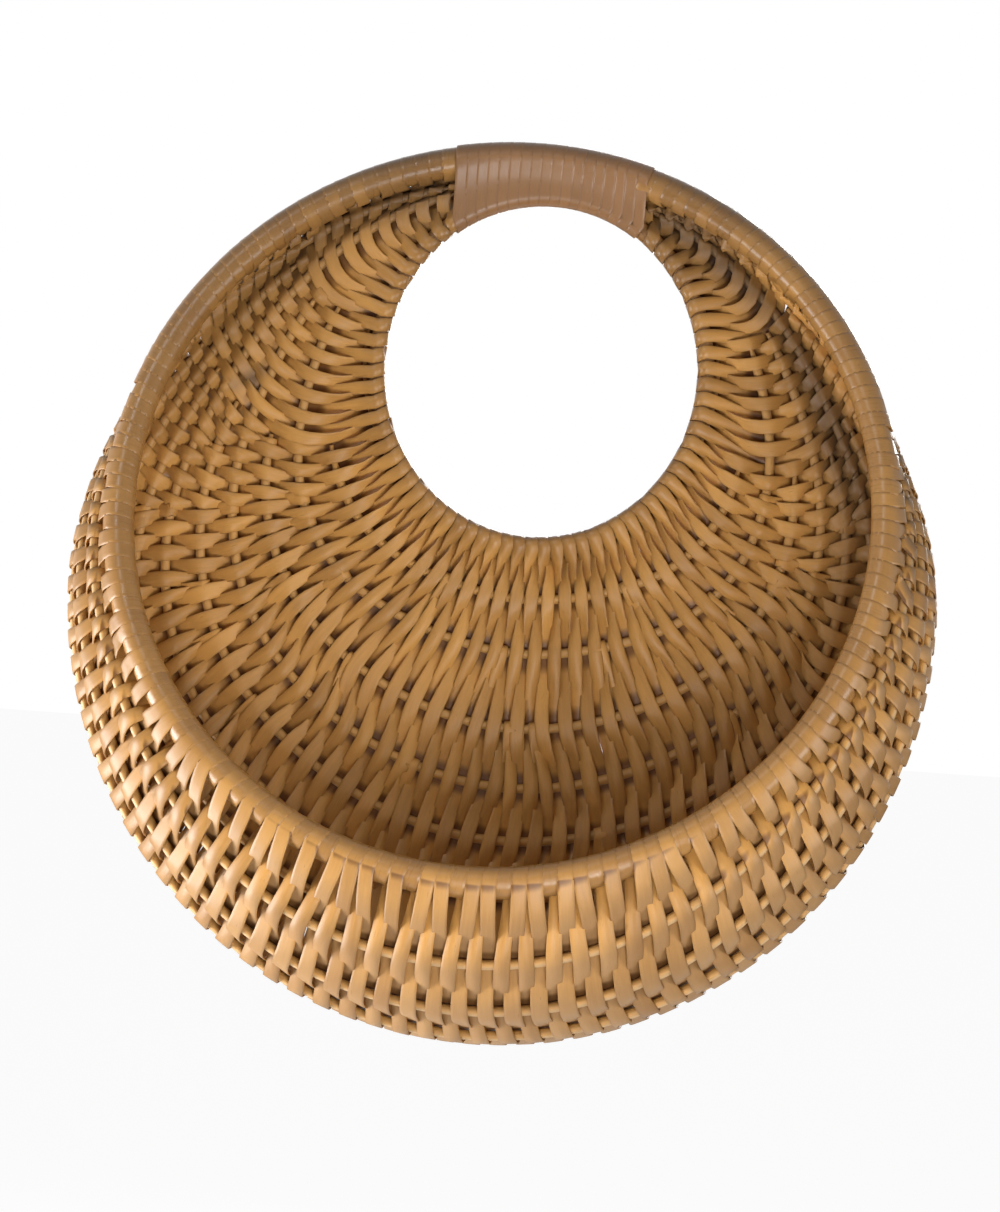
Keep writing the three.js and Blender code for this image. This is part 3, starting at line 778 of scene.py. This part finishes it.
    def bay_fit(self, number, a, b):
        """How far a splint turns on edge between two warps, to squeeze past its neighbours, and its width"""
        u = (a["u"] + b["u"]) / 2
        fraction = (a["at"] + b["at"]) / 2 / float(self.wall.length(u))
        share = float(warp_share(a["warp"], u) + warp_share(b["warp"], u)) / 2
        room = float(self.layout.edge(number + 1, share) - self.layout.edge(number, share))
        room *= self.wall.speed(u, fraction)
        horn = ramp(abs(u), HORN_START, HORN_REACH)
        outside = ramp(fraction, OUTSIDE_START, OUTSIDE_REACH)
        widest = WIDEST_SPLINT_SHARE + max(HORN_WIDENING * horn, OUTSIDE_WIDENING * outside)
        width = self.width * min(max(WIDTH_TO_ROOM * room / self.width, 1), widest)
        turn = math.acos(min(max(room, LEAST_ROOM_SHARE * width) * SQUEEZE / width, 1))
        turn = min(turn * (1 + TURN_SPREAD * self.turn[number, b["warp"]]), self.twist_limit)
        turn *= (1 - HORN_CALM * horn) * (1 - OUTSIDE_CALM * outside)
        if a["warp"] == RING:
            turn *= RING_TURN
        if b["warp"] == RIM and number % 2 == 0:
            turn *= RIM_TURN_UP
        elif b["warp"] == RIM:
            turn *= RIM_TURN_MIDDLE if abs(u) < RIM_MIDDLE_REACH else RIM_TURN_DOWN
        return turn if u < HAND_CHANGE else -turn, width

    def rim_turn(self, strip, number):
        """From a pass going up, round the rim once or more, to the pass going down beside it"""
        pair = number // 2
        first, after = self.wrap_starts[pair], self.wrap_starts[pair + 1]
        begin = -self.leaving(number)[1]
        end = math.pi * (1 + 2 * (after - first - 1)) + self.leaving(number + 1)[1]
        self.round_hoop(strip, 1.0, RIM_ROD_RADIUS, begin, end, 1,
                        lambda angle: self.wrap_u(first + WRAP_INSET + angle / (2 * math.pi)))

    def near_turn(self, strip, number, begin_share=0.0, end_share=1.0):
        """From a pass going down, round the ring or its turning rib, to the next pass going up"""
        here, there = self.stands(number)[0], self.stands(number + 1)[0]
        begin, end = self.parting(number, here), self.parting(number + 1, there)
        fraction = here["at"] / float(self.wall.length(here["u"]))
        rod = RING_ROD_RADIUS if here["warp"] == RING else RIB_RADIUS
        sweep = end - begin
        self.round_hoop(strip, fraction, rod, begin + begin_share * sweep, begin + end_share * sweep, -1,
                        lambda angle: here["u"] + (there["u"] - here["u"]) * (angle - begin) / sweep)

    def round_hoop(self, strip, fraction, rod, begin, end, far, lateral):
        """Sections round a rod, from one angle to another; 0 is outside the wall and pi inside it"""
        steps = max(int(math.ceil(abs(end - begin) / TURN_STEP)), 2)
        angle = np.linspace(begin, end, steps + 1)[1:-1]
        u = lateral(angle)
        point, out, along, _ = self.wall.at(u, fraction)
        toward_rim = np.cross(out, along)
        radius = self.turn_radius(rod)
        offset = np.cos(angle)[:, None] * out + far * np.sin(angle)[:, None] * toward_rim
        on_rim = rod == RIM_ROD_RADIUS
        # Sections round a rod also carry their stains and painted shade
        strip.add(point + radius * offset, along, WRAP_TILT * on_rim,
                  self.width * (WRAP_OVERLAP if on_rim else 1), 0.0 if rod == RIB_RADIUS else 1.0,
                  stain_and_shade(u, fraction), 0.0)

    def tucked_end(self, strip, number, before):
        """The end of the outermost splint, bent half way round the ring"""
        stand = self.stands(number)[0]
        leaving = self.parting(number, stand)
        angles = (math.pi / 2, leaving) if before else (leaving, math.pi / 2)
        self.round_hoop(strip, 0.0, RING_ROD_RADIUS, *angles, -1, lambda angle: stand["u"] + 0 * angle)

    def piece(self, first, last):
        """One unbroken splint, from the first pass to the last"""
        strip = Strip()
        if first == 0:
            self.tucked_end(strip, first, True)
        else:
            self.near_turn(strip, first - 1, begin_share=PIECE_START)
        for number in range(first, last + 1):
            self.pass_sections(strip, number)
            if number % 2 == 0:
                self.rim_turn(strip, number)
            elif number < last:
                self.near_turn(strip, number)
        if last == len(self.layout.passes) - 1:
            self.tucked_end(strip, last, False)
        else:
            self.near_turn(strip, last, end_share=PIECE_END)
        return strip.joined()


def skin_strip(name, strip, thickness, random):
    """Skins a splint, twisting its sections where it squeezes past its neighbours"""
    centre = strip["centre"]
    wide, face = turned(*directions(centre, strip["wide"]), strip["twist"][:, None])
    count = len(centre)
    width = strip["width"] * (1 + SPLINT_WIDTH_CHANGE * wandering(random, count, reach=40, smooth=9))
    wrapped = smoothed(strip["wrapped"])
    tone = random.uniform(*SPLINT_TONES) + SPLINT_TONE_CHANGE * wandering(random, count, reach=45, smooth=11)
    section = FLAT_SECTION + wrapped[:, None, None] * (WRAP_SECTION - FLAT_SECTION)
    # Splints carry their stains and painted shade, and their height over the ribs for the painted shade behind
    # a rib
    return skin(name, centre, wide, face, width, thickness, section,
                strip_wrapped=wrapped, strip_tone=tone, strip_aged=strip["stain_and_shade"], strip_side=strip["side"])


class Value:
    """A number, vector or colour in a material's nodes, worked with as in a plain expression"""

    def __init__(self, nodes, socket):
        self.nodes = nodes
        self.socket = socket

    def math(self, operation, *values):
        return self.nodes.add("ShaderNodeMath", dict(enumerate(values)), operation=operation)

    def __add__(self, other):
        return self.math("ADD", self, other)

    __radd__ = __add__

    def __sub__(self, other):
        return self.math("SUBTRACT", self, other)

    def __rsub__(self, other):
        return self.math("SUBTRACT", other, self)

    def __mul__(self, other):
        return self.math("MULTIPLY", self, other)

    __rmul__ = __mul__

    def __truediv__(self, other):
        return self.math("DIVIDE", self, other)

    def __pow__(self, other):
        return self.math("POWER", self, other)

    def __abs__(self):
        return self.math("ABSOLUTE", self)

    def clamped(self):
        return self.math("MINIMUM", self.math("MAXIMUM", self, 0.0), 1.0)

    def over(self, low, high):
        """0 below low and 1 above high, with a soft change between"""
        inputs = {"Value": self, "From Min": low, "From Max": high}
        return self.nodes.add("ShaderNodeMapRange", inputs, interpolation_type="SMOOTHSTEP")


class Nodes:
    """The nodes of a material or of the surroundings"""

    def __init__(self, owner):
        owner.use_nodes = True
        self.tree = owner.node_tree
        self.tree.nodes.clear()

    def add(self, kind, inputs=None, output=0, **settings):
        node = self.tree.nodes.new(kind)
        for key, value in settings.items():
            setattr(node, key, value)
        for key, value in (inputs or {}).items():
            if isinstance(value, Value):
                self.tree.links.new(value.socket, node.inputs[key])
            else:
                node.inputs[key].default_value = value
        return Value(self, node.outputs[output])

    def attribute(self, name):
        return self.add("ShaderNodeAttribute", output="Fac", attribute_name=name)

    def mix(self, factor, a, b, blend="MIX"):
        return self.add("ShaderNodeMix", {0: factor, 6: a, 7: b}, 2,
                        data_type="RGBA", blend_type=blend, clamp_factor=True)

    def vector(self, x, y, z):
        return self.add("ShaderNodeCombineXYZ", {"X": x, "Y": y, "Z": z})

    def noise(self, vector, scale, detail, roughness=0.55):
        inputs = {"Vector": vector, "Scale": scale, "Detail": detail, "Roughness": roughness}
        return self.add("ShaderNodeTexNoise", inputs)

    def place(self):
        return self.add("ShaderNodeTexCoord", output="Object")

    def facing_out(self, centre):
        """From -1 where the surface faces a point inside the basket to 1 where it faces away from it"""
        normal = self.add("ShaderNodeNewGeometry", output="Normal")
        offset = self.vector_math("SUBTRACT", self.place(), centre)
        return self.vector_math("DOT_PRODUCT", normal, self.vector_math("NORMALIZE", offset), output="Value")

    def vector_math(self, operation, *values, output=0):
        return self.add("ShaderNodeVectorMath", dict(enumerate(values)), output, operation=operation)

    def ray(self, kind):
        """1 for a ray of this kind and 0 for any other"""
        return self.add("ShaderNodeLightPath", output=f"Is {kind} Ray")

    def show(self, shader, output="ShaderNodeOutputMaterial"):
        """Makes a shader the look of the material, or of the surroundings"""
        end = self.tree.nodes.new(output)
        self.tree.links.new(shader.socket, end.inputs["Surface"])


def rgba(colour):
    return (*colour, 1.0)


def darker(colour, share):
    return [share * c for c in colour]


# How fine the cane's grain, fibres, bands and patches are, in turns per metre, and how much they differ
# from one splint to the next
GRAIN_ALONG = 55.0
FIBRE_ALONG = 160.0
FIBRE_FINENESS = 5.0
BANDS_ALONG = 17.0
PATCHES = 26.0
GRAIN_SHIFT = 30.0
BANDS_SHIFT = 9.0

# How strongly the shade changes with the splint's own tone, the grain, the bands and the patches, how pale
# the cane is on the whole, and how dark its streaks are
TONE_SHADE = 0.75
GRAIN_SHADE = 0.7
BANDS_SHADE = 0.9
PATCHES_SHADE = 0.6
PALENESS = 0.68
STREAK_DEPTH = 0.62
WRAP_COLOUR_SHARE = 0.85

# Over which directions the inside's colour, painted paler to make up for the pocket's shade, gives way to the
# outside's
FACING_RANGE = (-0.35, 0.35)

# Dark flecks in the fibres, and dark edges
FLECK_RANGE = (1.08, 1.2)
FLECK_DEPTH = 0.5
FLECK_TINT = 0.35
EDGE_NARROWNESS = 6.0
EDGE_DEPTH = 0.26
WRAP_EDGE_CALM = 0.14
EDGE_TINT = 0.4

# What stains and painted shade leave of the cane's red, green and blue where they darken it most, and the
# painted shade where a splint dives behind a rib
STAIN_AND_SHADE_TINT = (0.26, 0.27, 0.36)
SHADE_BEHIND_RIB_TINT = (0.3, 0.22, 0.14)
SHADE_BEHIND_RIB_RANGE = (0.6, 0.9)
SHADE_BEHIND_RIB_DEPTH = 0.9

# The varnish, which lies thicker and smoother on the wraps, and the grain in relief
GRAIN_DULLNESS = 0.3
PATCHES_DULLNESS = 0.2
WRAP_SHINE = 0.15
COAT = 0.1
WRAP_COAT = 0.25
COAT_ROUGHNESS = 0.34
SPECULAR_LEVEL = 0.3
RELIEF_STRENGTH = 0.35
RELIEF_HEIGHT = 0.25 * MM


def cane_material(name, pale, dark, wrapped, inner, dullness, grain_fineness):
    """Varnished cane: fine lengthwise grain, nodes and stains, dark edges, painted shade behind the ribs,
    beside the rim and in the pocket, a paler inside painted to make up for the pocket's shade, and a glossier
    wrapped part
    """
    material = bpy.data.materials.new(name)
    nodes = Nodes(material)
    across = nodes.attribute("strip_across")
    along = nodes.attribute("strip_along")
    tone = nodes.attribute("strip_tone")
    wrap = nodes.attribute("strip_wrapped")
    strand, shift = across * grain_fineness, tone * GRAIN_SHIFT
    grain = nodes.noise(nodes.vector(strand, along * GRAIN_ALONG, shift), 1.0, 4.0, 0.62)
    fibre = nodes.noise(nodes.vector(strand * FIBRE_FINENESS, along * FIBRE_ALONG, shift), 1.0, 2.0)
    bands = nodes.noise(nodes.vector(tone * BANDS_SHIFT, along * BANDS_ALONG, 0.0), 1.0, 3.0)
    patches = nodes.noise(nodes.place(), PATCHES, 4.0, 0.6)
    shade = (tone - 0.5) * TONE_SHADE + (grain - 0.5) * GRAIN_SHADE
    shade = shade + (bands - 0.5) * BANDS_SHADE + (patches - 0.5) * PATCHES_SHADE
    outside = nodes.facing_out(POCKET_CENTRE).over(*FACING_RANGE)
    # On splints and ribs the inside's colour is painted paler and warmer than the outside's, to make up for the
    # pocket's shade
    lit = nodes.mix(outside, rgba(inner), rgba(pale))
    lit = nodes.mix(wrap * WRAP_COLOUR_SHARE, lit, rgba(wrapped))
    colour = nodes.mix((shade + PALENESS).clamped(), nodes.mix(STREAK_DEPTH, lit, rgba(dark)), lit)
    fleck = (fibre * 1.2 + grain * 0.5).over(*FLECK_RANGE)
    colour = nodes.mix(fleck * FLECK_DEPTH, colour, rgba(darker(dark, FLECK_TINT)))
    edge = (abs(across) ** EDGE_NARROWNESS) * (EDGE_DEPTH - wrap * WRAP_EDGE_CALM)
    colour = nodes.mix(edge, colour, rgba(darker(dark, EDGE_TINT)))
    # Stains, and painted shade beside the rim and deep in the pocket, darken and cool the colour
    stained_and_shaded = (nodes.attribute("strip_aged") * (patches + 0.5)).clamped()
    colour = nodes.mix(stained_and_shaded, colour, rgba(STAIN_AND_SHADE_TINT), "MULTIPLY")
    # Painted shade on a splint's face where it dives behind a rib, seen from either side
    painted_shade_behind_rib = ((1 - outside * 2.0) * nodes.attribute("strip_side")).over(*SHADE_BEHIND_RIB_RANGE)
    colour = nodes.mix(painted_shade_behind_rib * SHADE_BEHIND_RIB_DEPTH, colour, rgba(SHADE_BEHIND_RIB_TINT), "MULTIPLY")
    dull = dullness + (grain - 0.5) * GRAIN_DULLNESS + (patches - 0.5) * PATCHES_DULLNESS
    relief = nodes.add("ShaderNodeBump", {"Height": grain * 0.6 + fibre * 0.4, "Strength": RELIEF_STRENGTH,
                                          "Distance": RELIEF_HEIGHT})
    nodes.show(nodes.add("ShaderNodeBsdfPrincipled", {
        "Base Color": colour, "Roughness": (dull - wrap * WRAP_SHINE).clamped(), "Normal": relief,
        "Coat Weight": wrap * WRAP_COAT + COAT, "Coat Roughness": COAT_ROUGHNESS,
        "Specular IOR Level": SPECULAR_LEVEL,
    }))
    return material


def colour_setting(name, description, default):
    return FloatVectorProperty(name=name, description=description, default=default, min=0, max=1,
                               subtype="COLOR")


def power_setting(name, description, default):
    return FloatProperty(name=name, description=description, default=default, min=0, unit="POWER")


class BasketSizes(bpy.types.PropertyGroup):
    """Sizes of the splints and of the grip's binding"""

    splint_width: FloatProperty(name="Splint width", description="Width of a flat cane splint",
                                default=6 * MM, unit="LENGTH")
    splint_thickness: FloatProperty(name="Splint thickness", description="Thickness of a flat cane splint",
                                    default=0.9 * MM, unit="LENGTH")
    twist_limit: FloatProperty(name="Greatest twist", description="How far a splint may turn on edge",
                               default=math.radians(34), subtype="ANGLE")
    unevenness: FloatProperty(name="Unevenness", description="How far a splint strays at a rib",
                              default=0.22 * MM, unit="LENGTH")
    rows_per_side: IntProperty(name="Rows", description="Full rows from the bottom centre to a horn",
                               default=30, min=12)
    grip_turns: IntProperty(name="Grip turns", description="Turns of the grip's binding", default=18, min=4)


class BasketColours(bpy.types.PropertyGroup):
    """Colours of the varnished cane"""

    splint: colour_setting("Splints", "Pale tan of the splints outside", (0.385, 0.215, 0.085))
    # The inside's colour is painted paler and warmer, to make up for the shade in the pocket
    splint_inside_painted_paler: colour_setting("Splints inside", "Warmer honey of the pocket's inside", (0.68, 0.34, 0.086))
    splint_dark: colour_setting("Darker splints", "Darker streaks in the splints", (0.2, 0.085, 0.022))
    wrap: colour_setting("Wraps", "Brown of the splints round the hoops", (0.385, 0.19, 0.05))
    rib: colour_setting("Ribs", "Pale tan of the round ribs", (0.6, 0.38, 0.18))
    rod: colour_setting("Hoop rods", "Brown of the bare hoops", (0.3, 0.145, 0.045))
    grip: colour_setting("Grip", "Pinkish brown of the grip's binding", (0.29, 0.142, 0.055))


class BasketLight(bpy.types.PropertyGroup):
    """Strengths of the studio's lamps and of the white surroundings"""

    left: power_setting("Left lamp", "Power of the lamp far out on the left", 13.5)
    right: power_setting("Right lamp", "Power of the lamp on the right", 2.9)
    above: power_setting("Upper lamp", "Power of the small lamp that gives the rim its shine", 0.95)
    low: power_setting("Low lamp", "Power of the lamp low in front", 2.35)
    front: power_setting("Front lamp", "Power of the small lamp close in front", 0.55)
    behind: power_setting("Back lamp", "Power of the wide lamp behind the basket", 16.0)
    surroundings: FloatProperty(name="Surroundings", description="Strength of the light from all round",
                                default=0.04, min=0)


class BASKET_OT_bend_hoops(bpy.types.Operator):
    """Bends the rods of the rim and the ring"""

    bl_idname = "basket.bend_hoops"
    bl_label = "Bend hoops"

    def execute(self, context):
        colours = context.scene.basket_colours
        cane = cane_material("hoop_rod_cane", colours.rod, darker(colours.rod, 0.5), colours.rod, colours.rod,
                             dullness=0.5, grain_fineness=6.0)
        hoops = Hoops()
        angles = np.linspace(0, 2 * math.pi, HOOP_STEPS, endpoint=False)
        self.hoop("front_rim_rod", hoops.rim_point(angles), RIM_ROD_RADIUS, cane, "front_rim_hoop")
        self.hoop("inner_ring_rod", hoops.ring_point(angles), RING_ROD_RADIUS, cane, "inner_ring_hoop")
        return {"FINISHED"}

    @staticmethod
    def hoop(name, centre, radius, cane, node):
        random = np.random.default_rng(SEED)
        reference = np.broadcast_to(np.array([0.0, 1.0, 0.0]), centre.shape)
        wide, face = directions(centre, reference, closed=True)
        width = 2 * radius * (1 + ROD_WIDTH_CHANGE * wandering(random, len(centre), reach=20, smooth=9))
        piece = skin(name, centre, wide, face, width, width, ROUND_SECTION, closed=True,
                     strip_wrapped=0.0, strip_tone=0.5)
        dress(piece, "rod_cane", cane, node)


class BASKET_OT_lay_ribs(bpy.types.Operator):
    """Lays the round ribs from horn to horn"""

    bl_idname = "basket.lay_ribs"
    bl_label = "Lay ribs"

    def execute(self, context):
        colours = context.scene.basket_colours
        cane = cane_material("rib_cane", colours.rib, darker(colours.rib, 0.45), colours.rib,
                             colours.splint_inside_painted_paler, dullness=0.5, grain_fineness=4.0)
        wall = Wall(Hoops())
        layout = Layout(wall, context.scene.basket_sizes.rows_per_side)
        random = np.random.default_rng(SEED + 1)
        for rib in range(1, RIB_COUNT + 1):
            tucked = rib == TUCKED_RIB
            radius, beside = (TUCKED_RIB_RADIUS, rib + 2) if tucked else (RIB_RADIUS, rib)
            crossing = [n for n in range(len(layout.passes)) if beside in layout.warps_of(n)]
            first = layout.meeting(crossing[0] + RIB_END_INSET, rib)[0]
            last = layout.meeting(crossing[-1] + 1 - RIB_END_INSET, rib)[0]
            u = np.linspace(first, last, WALL_COLUMNS - 1)
            point = wall.at(u, wall.fraction(u, warp_share(rib, u)))[0]
            travelled = distances(point)
            count = int(travelled[-1] / RIB_STEP)
            u = np.interp(np.linspace(0, travelled[-1], count), travelled, u)
            point, out, along, _ = wall.at(u, wall.fraction(u, warp_share(rib, u)))
            point = point + out * TUCKED_RIB_SETBACK * tucked
            wide, face = directions(point, np.cross(out, along))
            from_end = np.minimum(np.arange(count), np.arange(count)[::-1])
            taper = np.clip(from_end / RIB_TAPER_STEPS, RIB_END_SHARE, 1)
            width = 2 * radius * taper * (1 + RIB_WIDTH_CHANGE * wandering(random, count, reach=25, smooth=7))
            # Ribs carry stains and painted shade too
            piece = skin(f"reed_rib_{rib:02d}", point, wide, face, width, width, ROUND_SECTION,
                         strip_wrapped=0.0, strip_tone=random.uniform(*RIB_TONES),
                         strip_aged=stain_and_shade(u, wall.fraction(u, warp_share(rib, u))))
            dress(piece, "rib_cane", cane, f"rib_{rib:02d}")
        return {"FINISHED"}


class BASKET_OT_weave_splints(bpy.types.Operator):
    """Weaves the flat splints over and under the ribs and round both hoops"""

    bl_idname = "basket.weave_splints"
    bl_label = "Weave splints"

    def execute(self, context):
        sizes, colours = context.scene.basket_sizes, context.scene.basket_colours
        cane = cane_material("splint_cane", colours.splint, colours.splint_dark, colours.wrap,
                             colours.splint_inside_painted_paler, dullness=0.46, grain_fineness=2.4)
        wall = Wall(Hoops())
        layout = Layout(wall, sizes.rows_per_side)
        weave = Weave(wall, layout, sizes)
        random = np.random.default_rng(SEED + 2)
        rows = sizes.rows_per_side * 2 // WEAVE_PIECES
        first = 0
        for number in range(WEAVE_PIECES):
            last, full = first, 0
            while full < 2 * rows:
                full += layout.passes[last][0] is None
                last += 1
            piece = skin_strip(f"splint_rows_{number + 1:02d}", weave.piece(first, last - 1),
                               sizes.splint_thickness, random)
            weavers = range(number * PACKED_WEAVERS_PER_PIECE + 1, (number + 1) * PACKED_WEAVERS_PER_PIECE + 1)
            dress(piece, "splint_cane", cane, *(f"weaver_{weaver:02d}" for weaver in weavers))
            first = last
        return {"FINISHED"}


class BASKET_OT_bind_grip(bpy.types.Operator):
    """Winds the grip's splint round both hoops"""

    bl_idname = "basket.bind_grip"
    bl_label = "Bind grip"

    def execute(self, context):
        sizes, colours = context.scene.basket_sizes, context.scene.basket_colours
        cane = cane_material("grip_cane", colours.grip, darker(colours.grip, 0.55), colours.grip, colours.grip,
                             dullness=0.55, grain_fineness=2.4)
        hoops = Hoops()
        random = np.random.default_rng(SEED + 3)
        turns, length = sizes.grip_turns, hoops.grip_length
        outline = 4 * GRIP_ARC_STEPS + GRIP_BRIDGE_STEPS
        width = length / turns
        steps = turns * outline
        x = np.linspace((width - length) / 2, (length - width) / 2, steps)
        sections = [self.section(hoops, step % outline, value, sizes.splint_thickness)
                    for step, value in enumerate(x)]
        centre, reference = (np.array(rows) for rows in zip(*sections))
        wide, face = turned(*directions(centre, reference), WRAP_TILT)
        narrow = np.ones(turns + 1)
        narrow[random.choice(np.arange(turns // 2, turns - 1), NARROW_TURNS, replace=False)] = NARROW_SHARE
        widths = width * WRAP_OVERLAP * np.repeat(narrow[:turns], outline)
        tone = 0.5 + GRIP_TONE_CHANGE * wandering(random, steps, reach=30, smooth=9)
        piece = skin("grip_binding", centre, wide, face, widths, sizes.splint_thickness, WRAP_SECTION,
                     strip_wrapped=1.0, strip_tone=tone)
        dress(piece, "grip_cane", cane, "grip_wrap")
        return {"FINISHED"}

    @classmethod
    def section(cls, hoops, step, x, thickness):
        """A point of the binding and its width's direction: under the ring to the front, then over the rim"""
        half = 2 * GRIP_ARC_STEPS
        bridged = (step - half + 1) / (GRIP_BRIDGE_STEPS + 1)
        if bridged <= 0:
            return cls.round_rod(hoops, True, math.pi * step / (half - 1), x, thickness)
        if bridged >= 1:
            turn = math.pi * (1 + (step - half - GRIP_BRIDGE_STEPS) / (half - 1))
            return cls.round_rod(hoops, False, turn, x, thickness)
        below, along = cls.round_rod(hoops, True, math.pi, x, thickness)
        above, _ = cls.round_rod(hoops, False, math.pi, x, thickness)
        hollow = GRIP_HOLLOW * math.sin(math.pi * bridged) * np.array([0, 1, 0])
        return below + (above - below) * bridged + hollow, along

    @staticmethod
    def round_rod(hoops, on_ring, turn, x, thickness):
        """A point of the binding where it bends round one of the hoops"""
        rod, centre = (RING_ROD_RADIUS, hoops.ring_centre) if on_ring else (RIM_ROD_RADIUS, hoops.rim_centre)
        radius = hoops.ring_half_width if on_ring else hoops.rim_radius
        angle = math.pi - math.asin((x - centre[0]) / radius)
        hoop = hoops.ring_point if on_ring else hoops.rim_point
        behind, middle, beyond = hoop(np.array([angle + NEARBY, angle, angle - NEARBY]))
        along = unit(beyond - behind)
        outward = unit(np.cross(along, [0, 1, 0]) * [1, 0, 1])
        outward *= np.sign(outward[2])
        reach = packed_reach(rod) - thickness / 2
        return middle + reach * (math.cos(turn) * np.array([0, 1, 0]) - math.sin(turn) * outward), along


class BASKET_OT_set_stage(bpy.types.Operator):
    """Sets the pale floor, the soft lamps, the white surroundings and the camera"""

    bl_idname = "basket.set_stage"
    bl_label = "Set stage"

    def execute(self, context):
        light = context.scene.basket_light
        self.floor()
        self.surroundings(context.scene, light.surroundings)
        for name, place, size, setting in LAMPS:
            self.lamp(name, place, size, getattr(light, setting))
        self.camera(context.scene)
        context.scene.view_settings.view_transform = "Standard"
        return {"FINISHED"}

    @staticmethod
    def floor():
        mesh = bpy.data.meshes.new("floor")
        corners = [(x * FLOOR_REACH, y * FLOOR_REACH, 0) for x, y in ((-1, -1), (1, -1), (1, 1), (-1, 1))]
        mesh.from_pydata(corners, [], [(0, 1, 2, 3)])
        floor = bpy.data.objects.new("floor", mesh)
        floor.location.z = CAD_BOX[0].z - FLOOR_DROP
        bpy.context.scene.collection.objects.link(floor)
        material = bpy.data.materials.new("pale_floor")
        nodes = Nodes(material)
        plain = nodes.add("ShaderNodeBsdfDiffuse", {"Color": rgba(darker(WHITE, FLOOR_GREY))})
        white = nodes.add("ShaderNodeEmission", {"Color": rgba(WHITE), "Strength": FLOOR_GLOW})
        seen = nodes.ray("Camera") * FLOOR_GLOW_SHARE
        nodes.show(nodes.add("ShaderNodeMixShader", {0: seen, 1: plain, 2: white}))
        mesh.materials.append(material)

    @staticmethod
    def surroundings(scene, strength):
        world = bpy.data.worlds.new("white_surroundings")
        scene.world = world
        nodes = Nodes(world)
        soft, white = (nodes.add("ShaderNodeBackground", {"Color": rgba(WHITE), "Strength": value})
                       for value in (strength, 1.0))
        seen = (nodes.ray("Camera") + nodes.ray("Glossy") + nodes.ray("Transmission")).clamped()
        nodes.show(nodes.add("ShaderNodeMixShader", {0: seen, 1: soft, 2: white}), "ShaderNodeOutputWorld")

    @staticmethod
    def lamp(name, location, size, power):
        lamp = bpy.data.lights.new(name, "AREA")
        lamp.shape = "DISK"
        lamp.size = size
        lamp.energy = power
        holder = bpy.data.objects.new(name, lamp)
        holder.location = location
        holder.rotation_mode = "QUATERNION"
        holder.rotation_quaternion = (CAMERA_TARGET - Vector(location)).to_track_quat("-Z", "Y")
        holder.visible_camera = False
        bpy.context.scene.collection.objects.link(holder)

    @staticmethod
    def camera(scene):
        az, el = CAMERA_AZIMUTH, CAMERA_ELEVATION
        back = Vector((math.sin(az) * math.cos(el), -math.cos(az) * math.cos(el), math.sin(el)))
        right = (-back).cross(Vector((0, 0, 1))).normalized()
        up = right.cross(-back)
        cos, sin = math.cos(CAMERA_ROLL), math.sin(CAMERA_ROLL)
        right, up = cos * right + sin * up, cos * up - sin * right
        data = bpy.data.cameras.new("camera")
        data.sensor_width = SENSOR_SIZE
        data.lens = FOCAL_PIXELS / IMAGE_HEIGHT * SENSOR_SIZE
        camera = bpy.data.objects.new("camera", data)
        rotation = Matrix((right, up, back)).transposed()
        camera.rotation_mode = "QUATERNION"
        camera.rotation_quaternion = rotation.to_quaternion()
        camera.location = CAMERA_TARGET + back * CAMERA_DISTANCE
        scene.collection.objects.link(camera)
        scene.camera = camera


class BASKET_PT_panel(bpy.types.Panel):
    """Lists the basket's pieces, sizes, colours and light"""

    bl_label = "Half moon wall basket"
    bl_space_type = "VIEW_3D"
    bl_region_type = "UI"
    bl_category = "Basket"

    def draw(self, context):
        layout = self.layout
        for operator in OPERATORS:
            layout.operator(operator.bl_idname)
        for settings in (context.scene.basket_sizes, context.scene.basket_colours, context.scene.basket_light):
            box = layout.box()
            for key in settings.__annotations__:
                box.prop(settings, key)


OPERATORS = (
    BASKET_OT_bend_hoops,
    BASKET_OT_lay_ribs,
    BASKET_OT_weave_splints,
    BASKET_OT_bind_grip,
    BASKET_OT_set_stage,
)
CLASSES = (BasketSizes, BasketColours, BasketLight, *OPERATORS, BASKET_PT_panel)


def register():
    for one in CLASSES:
        bpy.utils.register_class(one)
    bpy.types.Scene.basket_sizes = PointerProperty(type=BasketSizes)
    bpy.types.Scene.basket_colours = PointerProperty(type=BasketColours)
    bpy.types.Scene.basket_light = PointerProperty(type=BasketLight)


def unregister():
    del bpy.types.Scene.basket_light
    del bpy.types.Scene.basket_colours
    del bpy.types.Scene.basket_sizes
    for one in reversed(CLASSES):
        bpy.utils.unregister_class(one)


def main():
    register()
    bpy.ops.basket.bend_hoops()
    bpy.ops.basket.lay_ribs()
    bpy.ops.basket.weave_splints()
    bpy.ops.basket.bind_grip()
    bpy.ops.basket.set_stage()


if __name__ == "__main__":
    main()
